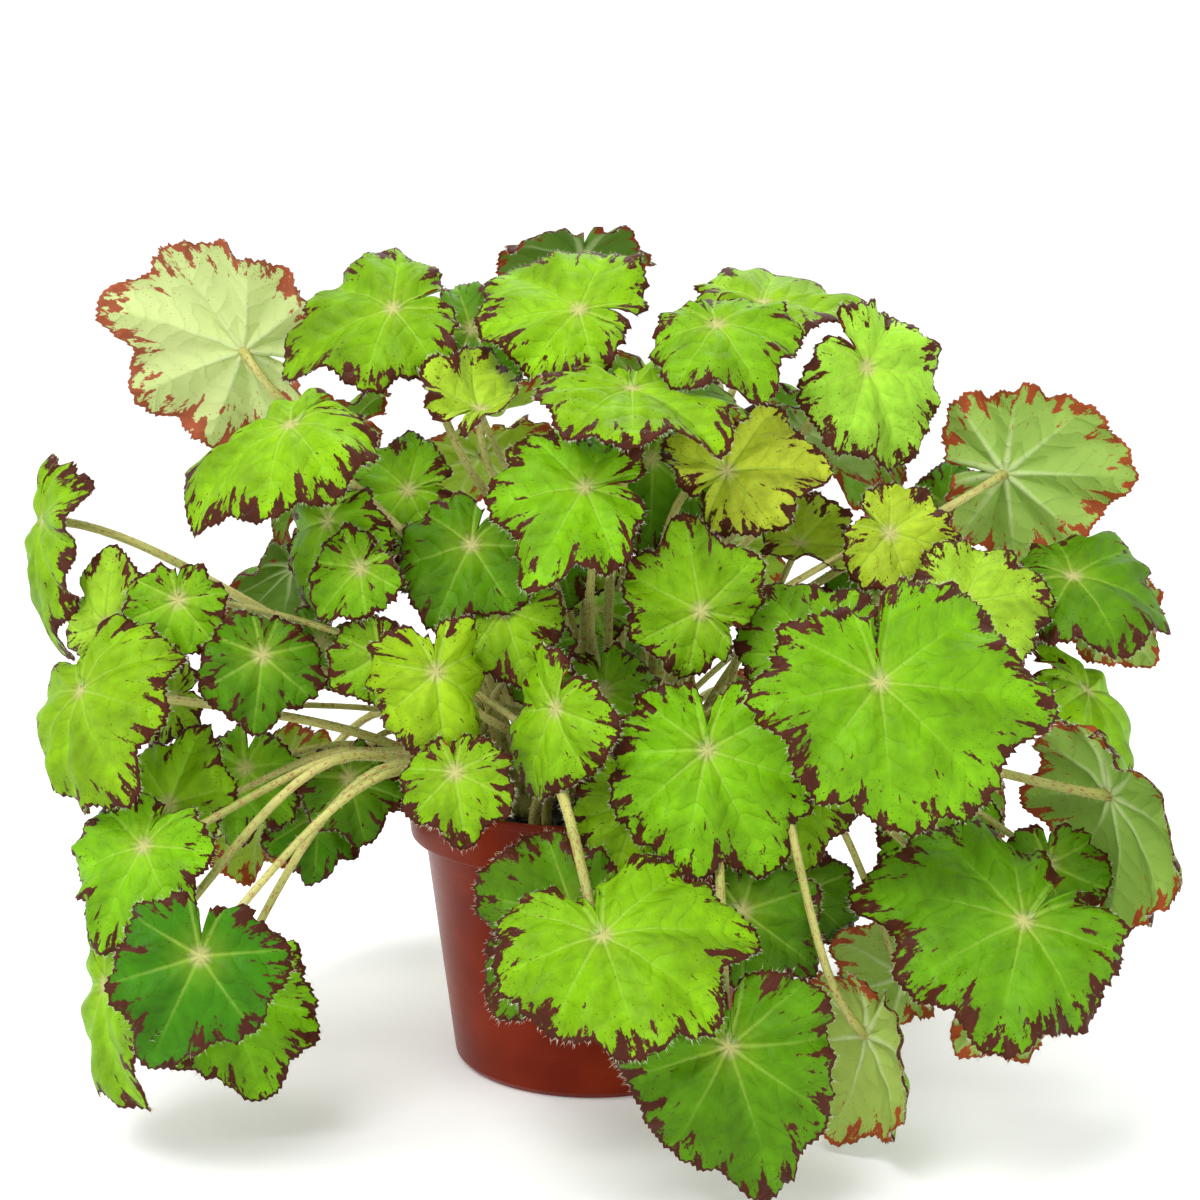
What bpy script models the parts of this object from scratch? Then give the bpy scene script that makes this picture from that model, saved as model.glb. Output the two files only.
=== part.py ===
"""Potted rhizomatous begonia: a plastic nursery pot, soil, creeping rhizomes, and leaves that each
stand on one long stalk and carry an oblique, wavy, toothed blade. Lengths here are millimetres."""

import math
import random

import bmesh
import bpy
import numpy as np
from mathutils.bvhtree import BVHTree

MM = 0.001

# Pot: a thin tapered plastic wall with a wider band below the lip
POT_HEIGHT = 97.0
POT_SIDES = 36
BASE_RADIUS = 48.4
WALL_TOP_RADIUS = 58.0
BAND_HEIGHT = 17.5
BAND_FOOT_RADIUS = 62.8
LIP_RADIUS = 65.0
LIP_HEIGHT = 2.2
WALL = 1.4
FLOOR = 2.2
FOOT_EDGE = 1.8
BAND_EDGE = 0.8
LIP_EDGE = 0.5
LIP_WALL = 1.7
BAND_STEP = 1.6
DRAIN_HOLES = 6
DRAIN_RADIUS = 4.0
DRAIN_CIRCLE = 33.0

# Soil and the gap that every piece keeps from the next
GAP = 0.4
SOIL_EDGE = 86.5
SOIL_DOME = 3.5
SOIL_RINGS = ((46.0, 0.5), (23.0, 0.9))
SOIL_ROUGHNESS = 0.8
SOIL_SEED = 11

# Feet of the stalks stand in plain holes
FOOT_BOTTOM = 80.4
FOOT_TOP = 94.5
ROOT_SPACING = 7.6
ROOT_LIMIT = 51.0
ROOT_PULL = 0.34
ROOT_PULL_HIGH = 0.18
ROW_RATIO = 0.866
LOWEST_HUB = 80.0
HUB_RANGE = 200.0

# Rhizomes: centre lines on the soil, each given by four points
RHIZOME_RADIUS = 4.4
RHIZOME_SIDES = 8
RHIZOME_STEPS = 7
RHIZOME_END = 1.6
RHIZOME_BLUNT = 0.62
RHIZOME_LEVEL = 91.0
RHIZOME_LINES = {
    "west": ((-47, 12), (-40, -2), (-30, -13), (-18, -18)),
    "east": ((47, -16), (40, -4), (38, 10), (42, 24)),
    "north": ((-34, 30), (-20, 37), (-4, 38), (14, 34)),
    "south": ((-6, -46), (8, -40), (18, -30), (22, -18)),
    "middle": ((-16, 16), (-5, 8), (8, 6), (20, 14)),
}
RHIZOME_CLEAR = 8.6
SHOOT_SPACING = 4.9
SHOOT_MARGIN = 4.0
SHOOT_LENGTH = 33.5
SHOOT_FOOT = 90.4
SHOOT_RISE = 9.0

# Blade and stalk
BLADE = 0.8
STALK_BASE = 0.75
STALK_PER_LENGTH = 0.019
STALK_FOOT_SWELL = 1.15
STALK_LOWER = 1.1
STALK_TAPER = 0.25
HUB_RING = 1.1
SLIT = math.radians(5.5)
SLIT_RANGE = (0.8, 1.5)
VEIN_STEP = 45.0
SMALL_VEIN_STEP = 60.0
LARGE_LENGTH = 44.5
LOBE_DEPTH = 0.10
SMALL_LOBE_DEPTH = 0.12
UNEVEN = (0.05, 0.03)
PLEAT = 0.07
FUNNEL = 0.035
FUNNEL_WIDTH = 0.12
CUP = 0.05
WAVE = 0.05
FINE_WAVE = 0.03
RIM_CURL = 0.05
FOLD_REACH = 0.75
INNER_RING = 0.52
OUTLINE_STOPS = (0.0, 0.12, 0.25, 0.45, 0.65, 0.82, 0.93, 1.0)
OUTLINE_REACH = (0.87, 0.84, 0.80, 0.74, 0.66, 0.56, 0.46, 0.34)
TIP_SPIKE = 0.13
TIP_WIDTH = math.radians(13.0)

# Course of a stalk: the way through its middle point and how it meets the blade
START_LEAN = 0.4
BOW = 0.85
MIDDLE_SHARE = 0.40
MIDDLE_RISE = 0.62
MIDDLE_LIFT = 0.25
MIDDLE_LEVEL = (0.6, 0.5)
MIDDLE_COURSE = 0.7
LOW_HUB = 185.0
LOW_BLEND = 70.0
FAR_BLEND = 90.0
BEYOND_LIP = 0.18
OVER_LIP = (0.35, 0.8)
LIP_CLEARANCE = 7.0
LIP_ARCH = 0.07
ARRIVE_COURSE = 0.55
ARRIVE_NORMAL = 0.6
ARRIVE_SINUS = 0.4
ARRIVE_SLOPE = 0.5
SLOPE_MEND = 1.4

# Eye point for reading leaf places: a front view 1200 units square
VIEW_HALF = 600.0
VIEW_SCALE = 2100.0
VIEW_DISTANCE = 706.8
VIEW_HEIGHT = 266.9
VIEW_SIDE = 2.3
VIEW_PITCH = math.radians(8.64)
EDGE_ON = 0.12

# Settling: blades first, then stalks, each taking the first seeded try that keeps clear
STEPS = 48
WAYS = 90
LATER_STRIDE = 5
ROOT_CHOICES = 12
CLEARANCE = 0.38
LOWEST = 3.0
SHRINK = 0.004
FRONT_TRY = (2.5, 0.35)
FRONT_LOOSE = (1.6, 0.8, 0.6)
BACK_TRY = (3.0, 0.5)
BACK_LOOSE = (0.5, 0.8)
SWING_GROWTH = 0.5
LEAN_GROWTH = 0.008
KEEP_OFF = 0.5
TIER_LENGTHS = (41.5, SHOOT_LENGTH, 27.5)

# Leaves seen from the front. Each row: name, hub across, hub down, depth behind the pot axis,
# blade length, facing azimuth and elevation, clock angle of the tip, droop, fold, skew, tone
FRONT_LEAVES = (
    ("crown_01", 244, 350, 30, 54, 168, 22, 290, 18, 10, 0, "pale"),
    ("crown_02", 290, 424, -45, 47, -28, 58, 240, 44, 52, -11, "mid"),
    ("crown_03", 393, 308, 0, 43, -5, 44, 250, 34, 30, 10, "mid"),
    ("crown_04", 471, 329, 38, 33, 10, 32, 95, 36, 25, 0, "deep"),
    ("crown_05", 580, 311, -5, 44, -8, 44, 306, 25, 20, -30, "mid"),
    ("crown_06", 612, 352, 30, 22, 15, 20, 100, 29, 18, 0, "mid"),
    ("crown_07", 480, 408, -22, 35, 15, 66, 57, 20, -82, 0, "young"),
    ("crown_08", 632, 388, -40, 46, 4, 74, 118, 30, 20, 30, "mid"),
    ("crown_09", 722, 330, -14, 42, 0, 45, 144, 45, 32, 0, "mid"),
    ("crown_10", 763, 301, 16, 44, 0, 72, 78, 28, 12, 0, "mid"),
    ("crown_11", 867, 367, -10, 40, 28, 15, 154, 22, 18, -20, "mid"),
    ("crown_12", 908, 352, 52, 26, 40, 30, 110, 29, 18, 0, "deep"),
    ("crown_13", 806, 330, 60, 26, 0, 25, 330, 22, 11, 0, "deep"),
    ("crown_15", 806, 428, 25, 40, 178, 62, 112, 16, 10, 0, "pale"),
    ("crown_16", 727, 471, -35, 35, 0, 28, 85, 16, 12, -40, "young"),
    ("crown_17", 890, 533, -30, 29, 12, 25, 104, 22, 18, 20, "young"),
    ("crown_18", 800, 543, -10, 28, 0, 58, 90, 22, -46, 0, "young"),
    ("right_01", 1005, 473, 10, 45, 165, 12, 92, 18, 10, 0, "pale"),
    ("right_02", 950, 505, 22, 21, -20, 20, 5, 22, 18, 0, "deep"),
    ("right_03", 966, 602, -40, 34, 0, 34, 80, 22, 12, 0, "young"),
    ("right_04", 1075, 575, -20, 42, -4, 60, 98, 50, 22, 0, "deep"),
    ("right_05", 1108, 606, -8, 27, 178, 18, 135, 22, 11, 0, "pale"),
    ("right_06", 880, 682, -100, 56, 4, 26, 96, 16, 9, 79, "mid"),
    ("right_07", 815, 662, -72, 36, -6, 24, 322, 19, 12, -30, "mid"),
    ("right_08", 1088, 690, -22, 46, 55, 42, 126, 55, 45, 0, "mid"),
    ("right_09", 1058, 862, -78, 31, 8, 15, 165, 22, 18, 10, "deep"),
    ("right_11", 1112, 795, -72, 52, 112, 16, 164, 30, 20, 0, "pale"),
    ("right_12", 1024, 921, -105, 53, 5, 47, 286, 22, 16, -60, "mid"),
    ("right_13", 1008, 1000, -84, 30, 172, 5, 222, 36, 15, 0, "pale"),
    ("right_14", 905, 975, -62, 29, 165, 10, 302, 22, 12, 0, "pale"),
    ("right_15", 930, 836, -52, 31, 0, 30, 130, 22, 15, 0, "mid"),
    ("right_17", 880, 600, 8, 31, 12, 10, 200, 22, 12, 0, "deep"),
    ("front_01", 707, 750, -86, 46, -5, 20, 153, 22, 14, 27, "mid"),
    ("front_03", 780, 780, -60, 36, 12, 14, 165, 22, 18, 0, "mid"),
    ("front_04", 602, 935, -132, 50, 0, 56, 84, 26, 16, 86, "mid"),
    ("front_05", 574, 915, -95, 40, -5, 22, 222, 26, 18, 20, "deep"),
    ("front_06", 731, 1047, -128, 46, 0, 14, 162, 24, 20, 18, "mid"),
    ("front_08", 868, 1035, -92, 40, 125, 4, 186, 20, 34, 0, "pale"),
    ("front_09", 738, 915, -90, 32, 0, 20, 126, 22, 15, 0, "deep"),
    ("front_10", 800, 893, -74, 27, 15, 15, 128, 22, 15, 0, "deep"),
    ("front_11", 640, 800, -76, 31, -8, 20, 200, 19, 12, 0, "mid"),
    ("heart_01", 701, 611, -60, 32, 0, 10, 350, 17, 13, -50, "mid"),
    ("heart_02", 585, 487, -55, 39, -6, 42, 211, 24, 20, 70, "mid"),
    ("heart_03", 468, 545, -30, 35, -10, 34, 205, 25, 20, 0, "deep"),
    ("heart_04", 503, 610, -45, 27, 0, 30, 160, 22, 15, 0, "mid"),
    ("heart_05", 596, 598, -8, 29, 0, 60, 70, 22, 18, 0, "mid"),
    ("heart_06", 592, 568, -4, 17, 0, 30, 250, 16, -13, 0, "young"),
    ("heart_07", 436, 672, -72, 34, 20, 12, 173, 24, 98, 0, "young"),
    ("heart_08", 455, 772, -84, 25, -5, 30, 170, 21, 15, 0, "mid"),
    ("heart_09", 496, 728, -34, 24, 10, 12, 20, 22, 15, 0, "mid"),
    ("heart_10", 555, 712, -72, 35, -48, 12, 205, 28, 44, 0, "mid"),
    ("heart_11", 604, 690, -34, 30, 15, 22, 168, 20, 14, 0, "mid"),
    ("heart_12", 650, 460, 10, 33, 20, 15, 180, 22, 12, 0, "deep"),
    ("heart_13", 560, 535, -8, 28, -10, 20, 170, 22, 12, 0, "deep"),
    ("heart_15", 540, 650, -24, 25, -5, 15, 190, 22, 12, 0, "deep"),
    ("left_01", 408, 490, -10, 32, -5, 38, 262, 21, 15, 0, "mid"),
    ("left_02", 406, 522, 0, 20, -10, 16, 235, 19, -16, 0, "young"),
    ("left_03", 332, 550, -24, 18, -12, 16, 240, 19, -16, 0, "young"),
    ("left_04", 326, 520, -40, 35, -40, 16, 205, 32, 52, 0, "mid"),
    ("left_05", 360, 568, -50, 22, -14, 20, 225, 21, 15, 0, "mid"),
    ("left_06", 380, 655, -54, 21, -5, 12, 240, 21, 15, 0, "mid"),
    ("left_07", 322, 642, -18, 22, -5, 14, 215, 21, 15, 0, "deep"),
    ("left_08", 42, 520, -15, 47, -66, 10, 188, 25, 22, 10, "mid"),
    ("left_09", 80, 690, -60, 47, -48, 30, 155, 42, 40, 10, "mid"),
    ("left_10", 110, 630, -44, 27, -10, 12, 3, 18, 50, 0, "young"),
    ("left_11", 178, 600, -46, 24, -4, 14, 200, 16, 12, -20, "mid"),
    ("left_12", 244, 640, -2, 24, 75, 10, 5, 21, 18, 0, "pale"),
    ("left_13", 262, 655, -52, 28, 15, 10, 185, 21, 18, 0, "deep"),
    ("left_14", 172, 700, -32, 22, -20, 30, 250, 21, 15, 0, "young"),
    ("left_15", 169, 804, -50, 28, -5, 20, 20, 21, 12, 0, "mid"),
    ("left_16", 146, 842, -76, 37, -20, 34, 208, 36, 24, 0, "mid"),
    ("left_17", 200, 956, -112, 36, 4, 14, 205, 20, 18, -20, "deep"),
    ("left_18", 226, 990, -80, 38, 5, 15, 160, 24, 20, 0, "mid"),
    ("left_19", 104, 985, -90, 43, -58, 12, 172, 28, 44, 0, "mid"),
    ("left_20", 245, 768, -18, 29, -10, 20, 190, 22, 15, 0, "mid"),
    ("left_21", 318, 812, -10, 27, 18, 8, 182, 22, 18, 0, "deep"),
    ("left_22", 350, 775, -24, 26, 5, 14, 165, 22, 15, 0, "deep"),
)

# Leaves on the far side stand in tiers: count, height, reach, facing elevation, blade length
BACK_TIERS = (
    (5, 82.0, 142.0, 22.0, 46.0),
    (3, 122.0, 88.0, 20.0, 38.0),
    (4, 150.0, 150.0, 34.0, 45.0),
    (4, 215.0, 112.0, 48.0, 42.0),
    (1, 268.0, 66.0, 62.0, 38.0),
)
BACK_SPREAD = (14.0, 166.0)
BACK_JITTER = (5.0, 14.0, 10.0, 8.0, 6.0)
BACK_TWIST = 50.0
BACK_BENDS = (18.0, 8.0)
BACK_SKEW = 60.0
BACK_TONES = ("mid", "deep", "mid", "mid", "young")

# Finishes: base colour, roughness
FINISHES = {
    "pot_terracotta": ((0.353, 0.067, 0.026), 0.42),
    "soil_peat": ((0.020, 0.014, 0.010), 0.95),
    "rhizome_green": ((0.230, 0.330, 0.060), 0.60),
    "leaf_mid": ((0.202, 0.578, 0.013), 0.42),
    "leaf_deep": ((0.085, 0.340, 0.010), 0.42),
    "leaf_young": ((0.479, 0.672, 0.042), 0.45),
    "leaf_pale": ((0.558, 0.745, 0.255), 0.50),
}


# Vector helpers
def unit(vector):
    vector = np.asarray(vector, float)
    return vector / np.linalg.norm(vector)


def sight_axes():
    """Right, up and forward directions of the front view."""
    right = np.array((1.0, 0.0, 0.0))
    forward = np.array((0.0, math.cos(VIEW_PITCH), -math.sin(VIEW_PITCH)))
    return right, np.cross(right, forward), forward


def seen_point(across, down, depth):
    """The point at the given depth behind the pot axis that is seen at (across, down)."""
    right, up, forward = sight_axes()
    ray = forward + right * (across - VIEW_HALF) / VIEW_SCALE + up * (VIEW_HALF - down) / VIEW_SCALE
    eye = np.array((VIEW_SIDE, -VIEW_DISTANCE, VIEW_HEIGHT))
    return eye + ray * (depth - eye[1]) / ray[1]


def facing(azimuth, elevation):
    """Unit vector: azimuth 0 looks to the front, 90 to the right; elevation above level."""
    turn = math.radians(azimuth)
    rise = math.radians(elevation)
    return np.array((math.cos(rise) * math.sin(turn), -math.cos(rise) * math.cos(turn), math.sin(rise)))


def tip_direction(normal, clock):
    """Direction in the blade's plane that is seen at the given clock angle from the front."""
    right, up, forward = sight_axes()
    turn = math.radians(clock)
    seen = right * math.sin(turn) + up * math.cos(turn)
    slope = float(np.dot(forward, normal))
    slope = math.copysign(max(abs(slope), EDGE_ON), slope)
    along = seen - forward * np.dot(seen, normal) / slope
    return unit(along - normal * np.dot(along, normal))


# Leaf outline and surface
class Leaf:
    """One leaf: place and axes of its blade, its outline, and the course of its stalk."""

    def __init__(self, name, hub, normal, tip, length, bends, tone):
        self.name = name
        self.hub = np.asarray(hub, float)
        self.normal = unit(normal)
        self.tip = unit(tip)
        self.side = np.cross(self.tip, self.normal)
        self.length = length
        self.droop, self.fold, self.skew = (math.radians(b) for b in bends)
        self.tone = tone
        self.stalk = STALK_BASE + STALK_PER_LENGTH * length
        draw = random.Random(name)
        self.phases = [draw.uniform(0, 2 * math.pi) for _ in range(4)]
        self.cup = draw.uniform(-CUP, CUP)
        self.slit = SLIT * draw.uniform(*SLIT_RANGE)
        self.span = (math.pi + self.skew, math.pi - self.skew)
        self.set_veins()
        self.root = None
        self.foot_low = FOOT_BOTTOM
        self.foot_high = FOOT_TOP
        self.swing = (0.0, 0.0, 0.0)

    def set_veins(self):
        """Vein angles from the tip on both sides, and knots at veins and between them."""
        step = VEIN_STEP if self.length > LARGE_LENGTH else SMALL_VEIN_STEP
        right, left = (
            [s * (i + 1) / (n + 0.35) for i in range(n)]
            for s, n in ((s, max(2, round(math.degrees(s) / step))) for s in self.span)
        )
        self.veins = np.array([-a for a in reversed(left)] + [0.0] + right)
        valleys = 0.5 * (self.veins[1:] + self.veins[:-1])
        ends = (-self.span[1] + self.slit, self.span[0] - self.slit)
        self.ends = ends
        knots = [(a, 0.0) for a in self.veins] + [(a, 1.0) for a in valleys]
        knots += [(ends[0], 0.7), (ends[1], 0.7)]
        knots.sort()
        self.knots = np.array([k[0] for k in knots])
        self.between = np.array([k[1] for k in knots])

    def reach(self, angle):
        """Outline radius as a fraction of the length, lobed at the veins, drawn out at the tip."""
        share = np.where(angle > 0, angle / self.span[0], -angle / self.span[1])
        base = np.interp(share, OUTLINE_STOPS, OUTLINE_REACH)
        gap = np.interp(angle, self.knots, self.between)
        uneven = 1 + UNEVEN[0] * np.sin(3 * angle + self.phases[0])
        uneven += UNEVEN[1] * np.sin(7 * angle + self.phases[1])
        spike = TIP_SPIKE * np.exp(-((angle / TIP_WIDTH) ** 2))
        depth = LOBE_DEPTH if self.length > LARGE_LENGTH else SMALL_LOBE_DEPTH
        return base * uneven * (1 - depth * (1 - np.cos(0.5 * math.pi * gap))) + spike

    def surface(self, share, angle, grow=0.0):
        """Points of the upper face, at a share of the outline radius and an angle from the tip."""
        share = np.asarray(share, float)
        angle = np.asarray(angle, float)
        out = share * (self.reach(angle) * self.length + grow)
        gap = np.interp(angle, self.knots, self.between)
        height = FUNNEL * (1 - np.exp(-((out / self.length / FUNNEL_WIDTH) ** 2)))
        height += PLEAT * share * (0.5 - 0.5 * np.cos(math.pi * gap))
        height += WAVE * share**2 * np.sin(3 * angle + self.phases[2])
        height += FINE_WAVE * share**3 * np.sin(5 * angle + self.phases[3])
        height += self.cup * share**2 - RIM_CURL * share**8
        x = out * np.sin(angle)
        y = out * np.cos(angle)
        z = height * self.length
        x, z = bend(x, z, self.fold / (FOLD_REACH * self.length))
        y, z = bend(y, z, self.droop / self.length)
        axes = np.stack((self.side, self.tip, self.normal))
        return self.hub + np.stack((x, y, z), -1) @ axes

    def sinus(self):
        """Direction from the hub into the notch of the blade."""
        angle = self.span[0]
        return self.side * math.sin(angle) + self.tip * math.cos(angle)

    def stalk_end(self):
        """Direction in which the stalk meets the blade from below."""
        course = self.hub - np.array((self.root[0], self.root[1], self.foot_high))
        aim = (ARRIVE_COURSE + self.swing[2]) * unit(course)
        aim = unit(aim + ARRIVE_NORMAL * self.normal - ARRIVE_SINUS * self.sinus())
        lack = ARRIVE_SLOPE - float(np.dot(aim, self.normal))
        return unit(aim + self.normal * max(0.0, lack) * SLOPE_MEND)

    def waypoint(self):
        """A point on the way and the direction there: over the lip for low leaves."""
        start = np.array((self.root[0], self.root[1], self.foot_high))
        course = self.hub - start
        flat = course * (1, 1, 0)
        far = math.hypot(self.hub[0], self.hub[1])
        low = max(0.0, min(1.0, (LOW_HUB - self.hub[2]) / LOW_BLEND)) * min(1.0, far / FAR_BLEND)
        share = MIDDLE_SHARE * (1 + self.swing[2])
        rise = MIDDLE_RISE * course[2]
        if low > 0 and far > LIP_RADIUS:
            inside = math.hypot(*self.root)
            out_share = (LIP_RADIUS - inside) / (far - inside) + BEYOND_LIP
            share += (max(OVER_LIP[0], min(OVER_LIP[1], out_share)) - share) * low
            over = POT_HEIGHT + LIP_CLEARANCE + LIP_ARCH * far - self.foot_high
            rise += (max(over, MIDDLE_RISE * course[2]) - rise) * low
        point = start + flat * share
        point[2] = start[2] + rise
        across = unit(np.cross(flat, (0, 0, 1)) + 1e-9)
        point = point + across * self.swing[0] + np.array((0, 0, self.swing[1]))
        level = MIDDLE_LEVEL[0] + MIDDLE_LEVEL[1] * low
        ahead = level * unit(flat + 1e-9) + MIDDLE_COURSE * unit(course)
        return point, unit(ahead + np.array((0, 0, MIDDLE_LIFT)))

    def course(self, count):
        """Centre line of the stalk from foot to hub, with count steps above the soil."""
        low = np.array((self.root[0], self.root[1], self.foot_low))
        start = np.array((self.root[0], self.root[1], self.foot_high))
        middle, ahead = self.waypoint()
        end = self.hub - self.normal * BLADE
        half = max(1, count // 2)
        leave = unit(np.array((0, 0, 1.0)) + START_LEAN * unit((end - start) * (1, 1, 0)))
        first = hermite(start, leave, middle, ahead, half)
        second = hermite(middle, ahead, end, self.stalk_end(), count - half)
        return np.vstack((low[None], first, second[1:]))


def bend(flat, height, rate):
    """Wrap a flat coordinate and a height around a cylinder, downwards for a positive rate."""
    if abs(rate) < 1e-6:
        return flat, height
    radius = 1.0 / rate
    return (radius + height) * np.sin(flat * rate), (radius + height) * np.cos(flat * rate) - radius


def hermite(start, leave, end, arrive, steps):
    """Smooth curve between two points with given directions."""
    reach = BOW * np.linalg.norm(end - start)
    t = np.linspace(0, 1, steps + 1)[:, None]
    from_start = (1 + 2 * t) * (1 - t) ** 2 * start + t * (1 - t) ** 2 * leave * reach
    return from_start + t * t * (3 - 2 * t) * end + t * t * (t - 1) * arrive * reach


# Leaf mesh
def leaf_counts(length):
    """Sides and steps of the stalk, and whether every vein gets an inner point."""
    if length > LARGE_LENGTH:
        return 4, 6, True
    if length > SHOOT_LENGTH:
        return 4, 5, False
    return 3, 4, False


def zip_rows(inner, outer, inner_at, outer_at):
    """Triangles between two rows of points, matched by their angles."""
    faces = []
    i = j = 0
    while i < len(inner) - 1 or j < len(outer) - 1:
        step_outer = i == len(inner) - 1
        if not step_outer and j < len(outer) - 1:
            step_outer = outer_at[j + 1] + outer_at[j] > inner_at[i + 1] + inner_at[i]
        if step_outer:
            faces.append((inner[i], outer[j], outer[j + 1]))
            j += 1
        else:
            faces.append((inner[i], outer[j], inner[i + 1]))
            i += 1
    return faces


def blade_faces(leaf, sides, full, grow):
    """Upper face of the blade: points, triangles, the ring around the stalk and the free edge."""
    last, first = leaf.ends
    ring_at = leaf.span[0] - 2 * math.pi * np.arange(sides + 1) / sides
    veins = leaf.veins if full else leaf.veins[len(leaf.veins) // 2 % 2 :: 2]
    inner_at = np.concatenate(([first], veins[::-1], [last]))
    outer_at = leaf.knots[::-1]
    centre = leaf.surface(np.zeros(1), np.zeros(1))
    ring_reach = leaf.length * leaf.reach(ring_at[:-1])
    ring = leaf.surface(HUB_RING * leaf.stalk / ring_reach, ring_at[:-1])
    inner = leaf.surface(np.full(len(inner_at), INNER_RING), inner_at)
    outer = leaf.surface(np.ones(len(outer_at)), outer_at, grow)
    points = np.vstack((centre, ring, inner, outer))
    ring_ids = [1 + i % sides for i in range(sides + 1)]
    inner_ids = list(range(1 + sides, 1 + sides + len(inner_at)))
    outer_ids = list(range(1 + sides + len(inner_at), len(points)))
    fan = [(0, a, b) for a, b in zip(ring_ids, ring_ids[1:])]
    strips = zip_rows(ring_ids, inner_ids, ring_at, inner_at)
    strips += zip_rows(inner_ids, outer_ids, inner_at, outer_at)
    edge = [ring_ids[0], inner_ids[0]] + outer_ids + [inner_ids[-1]]
    return points, fan, strips, edge


def point_normals(points, faces):
    """Mean facing of the triangles around each point."""
    faces = np.array(faces)
    cross = np.cross(points[faces[:, 1]] - points[faces[:, 0]], points[faces[:, 2]] - points[faces[:, 0]])
    total = np.zeros_like(points)
    for corner in range(3):
        np.add.at(total, faces[:, corner], cross)
    return total / np.linalg.norm(total, axis=1)[:, None]


def stalk_rings(path, sides, radius, foot_radius):
    """Rings of points around the stalk that turn as little as possible, foot first."""
    count = len(path)
    rings = []
    forward = unit(path[1] - path[0])
    across = np.array((1.0, 0.0, 0.0))
    turns = 2 * math.pi * np.arange(sides) / sides
    for i in range(count):
        ahead = unit(path[min(i + 1, count - 1)] - path[max(i - 1, 0)]) if i > 1 else forward
        across = unit(across - ahead * np.dot(across, ahead))
        beside = np.cross(ahead, across)
        size = foot_radius if i < 2 else radius * (STALK_LOWER - STALK_TAPER * i / count)
        rings.append(path[i] + size * (np.outer(np.cos(turns), across) + np.outer(np.sin(turns), beside)))
    return rings


def blade_mesh(leaf, grow=0.0):
    """Both faces of the blade and its edge, open below where the stalk joins."""
    sides, _, full = leaf_counts(leaf.length)
    top, fan, strips, edge = blade_faces(leaf, sides, full, grow)
    away = point_normals(top, fan + strips)
    # The middle of the hub has no twin below, so the lower points start one later
    shift = len(top) - 1
    under = (top - away * (BLADE + grow))[1:]
    faces = fan + strips + [(c + shift, b + shift, a + shift) for a, b, c in strips]
    for a, b in zip(edge, edge[1:] + edge[:1]):
        faces += [(a, a + shift, b + shift), (a, b + shift, b)]
    return np.vstack((top + away * grow, under)), faces, [shift + 1 + q for q in range(sides)]


def stalk_mesh(leaf, hub_ring, grow=0.0):
    """Rings of the stalk and the rows of triangles from the soil up to the given ring at the hub."""
    sides, steps, _ = leaf_counts(leaf.length)
    path = leaf.course(steps)[:-1]
    rings = stalk_rings(path, sides, leaf.stalk + grow, leaf.stalk * STALK_FOOT_SWELL + grow)
    turn = min(range(sides), key=lambda s: np.linalg.norm(np.roll(hub_ring, -s, 0) - rings[-1], axis=1).sum())
    return rings, turn


def tube_faces(rows):
    """Triangles between rows of points around a tube."""
    faces = []
    for lower, upper in zip(rows, rows[1:]):
        for q in range(len(lower)):
            r = (q + 1) % len(lower)
            faces += [(lower[q], lower[r], upper[r]), (lower[q], upper[r], upper[q])]
    return faces


def leaf_mesh(leaf, grow=0.0):
    """Closed mesh of one leaf: both faces of the blade, its edge, and the stalk below the hub."""
    blade, faces, hub_ids = blade_mesh(leaf, grow)
    rings, turn = stalk_mesh(leaf, blade[hub_ids], grow)
    sides = len(hub_ids)
    rows = [[len(blade) + i * sides + q for q in range(sides)] for i in range(len(rings))]
    rows.append(hub_ids[turn:] + hub_ids[:turn])
    faces = faces + tube_faces(rows)
    faces += [(rows[0][0], rows[0][q + 1], rows[0][q]) for q in range(1, sides - 1)]
    return np.vstack([blade] + rings), faces


# Leaf places
def front_leaf(row, step):
    """A leaf of the front table, moved a little more and made a little smaller with each step."""
    name, across, down, depth, length, azimuth, elevation, clock, droop, fold, skew, tone = row
    draw = random.Random(f"{name} {step}")
    reach = 0.0 if step == 0 else FRONT_TRY[0] + FRONT_TRY[1] * step
    deeper, aside, turned = (reach * loose for loose in FRONT_LOOSE)
    length *= 1 - SHRINK * step
    depth += draw.uniform(-deeper, deeper)
    across += draw.uniform(-aside, aside)
    down += draw.uniform(-aside, aside)
    azimuth += draw.uniform(-turned, turned)
    elevation += draw.uniform(-turned, turned)
    normal = facing(azimuth, elevation)
    return Leaf(name, seen_point(across, down, depth), normal, tip_direction(normal, clock), length,
                (droop, fold, skew), tone)


def back_rows():
    """Rows for the far side: name, turn around the axis, height, reach, elevation, length, tone."""
    rows = []
    draw = random.Random("far side")
    for count, height, reach, elevation, length in BACK_TIERS:
        offset = draw.uniform(-0.3, 0.3)
        for i in range(count):
            turn = BACK_SPREAD[0] + (BACK_SPREAD[1] - BACK_SPREAD[0]) * (i + 0.5 + offset) / count
            middle = (turn, height, reach, elevation, length)
            rows.append((
                f"back_{len(rows) + 1:02d}",
                *(value + draw.uniform(-most, most) for value, most in zip(middle, BACK_JITTER)),
                BACK_TONES[len(rows) % len(BACK_TONES)],
            ))
    return rows


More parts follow.
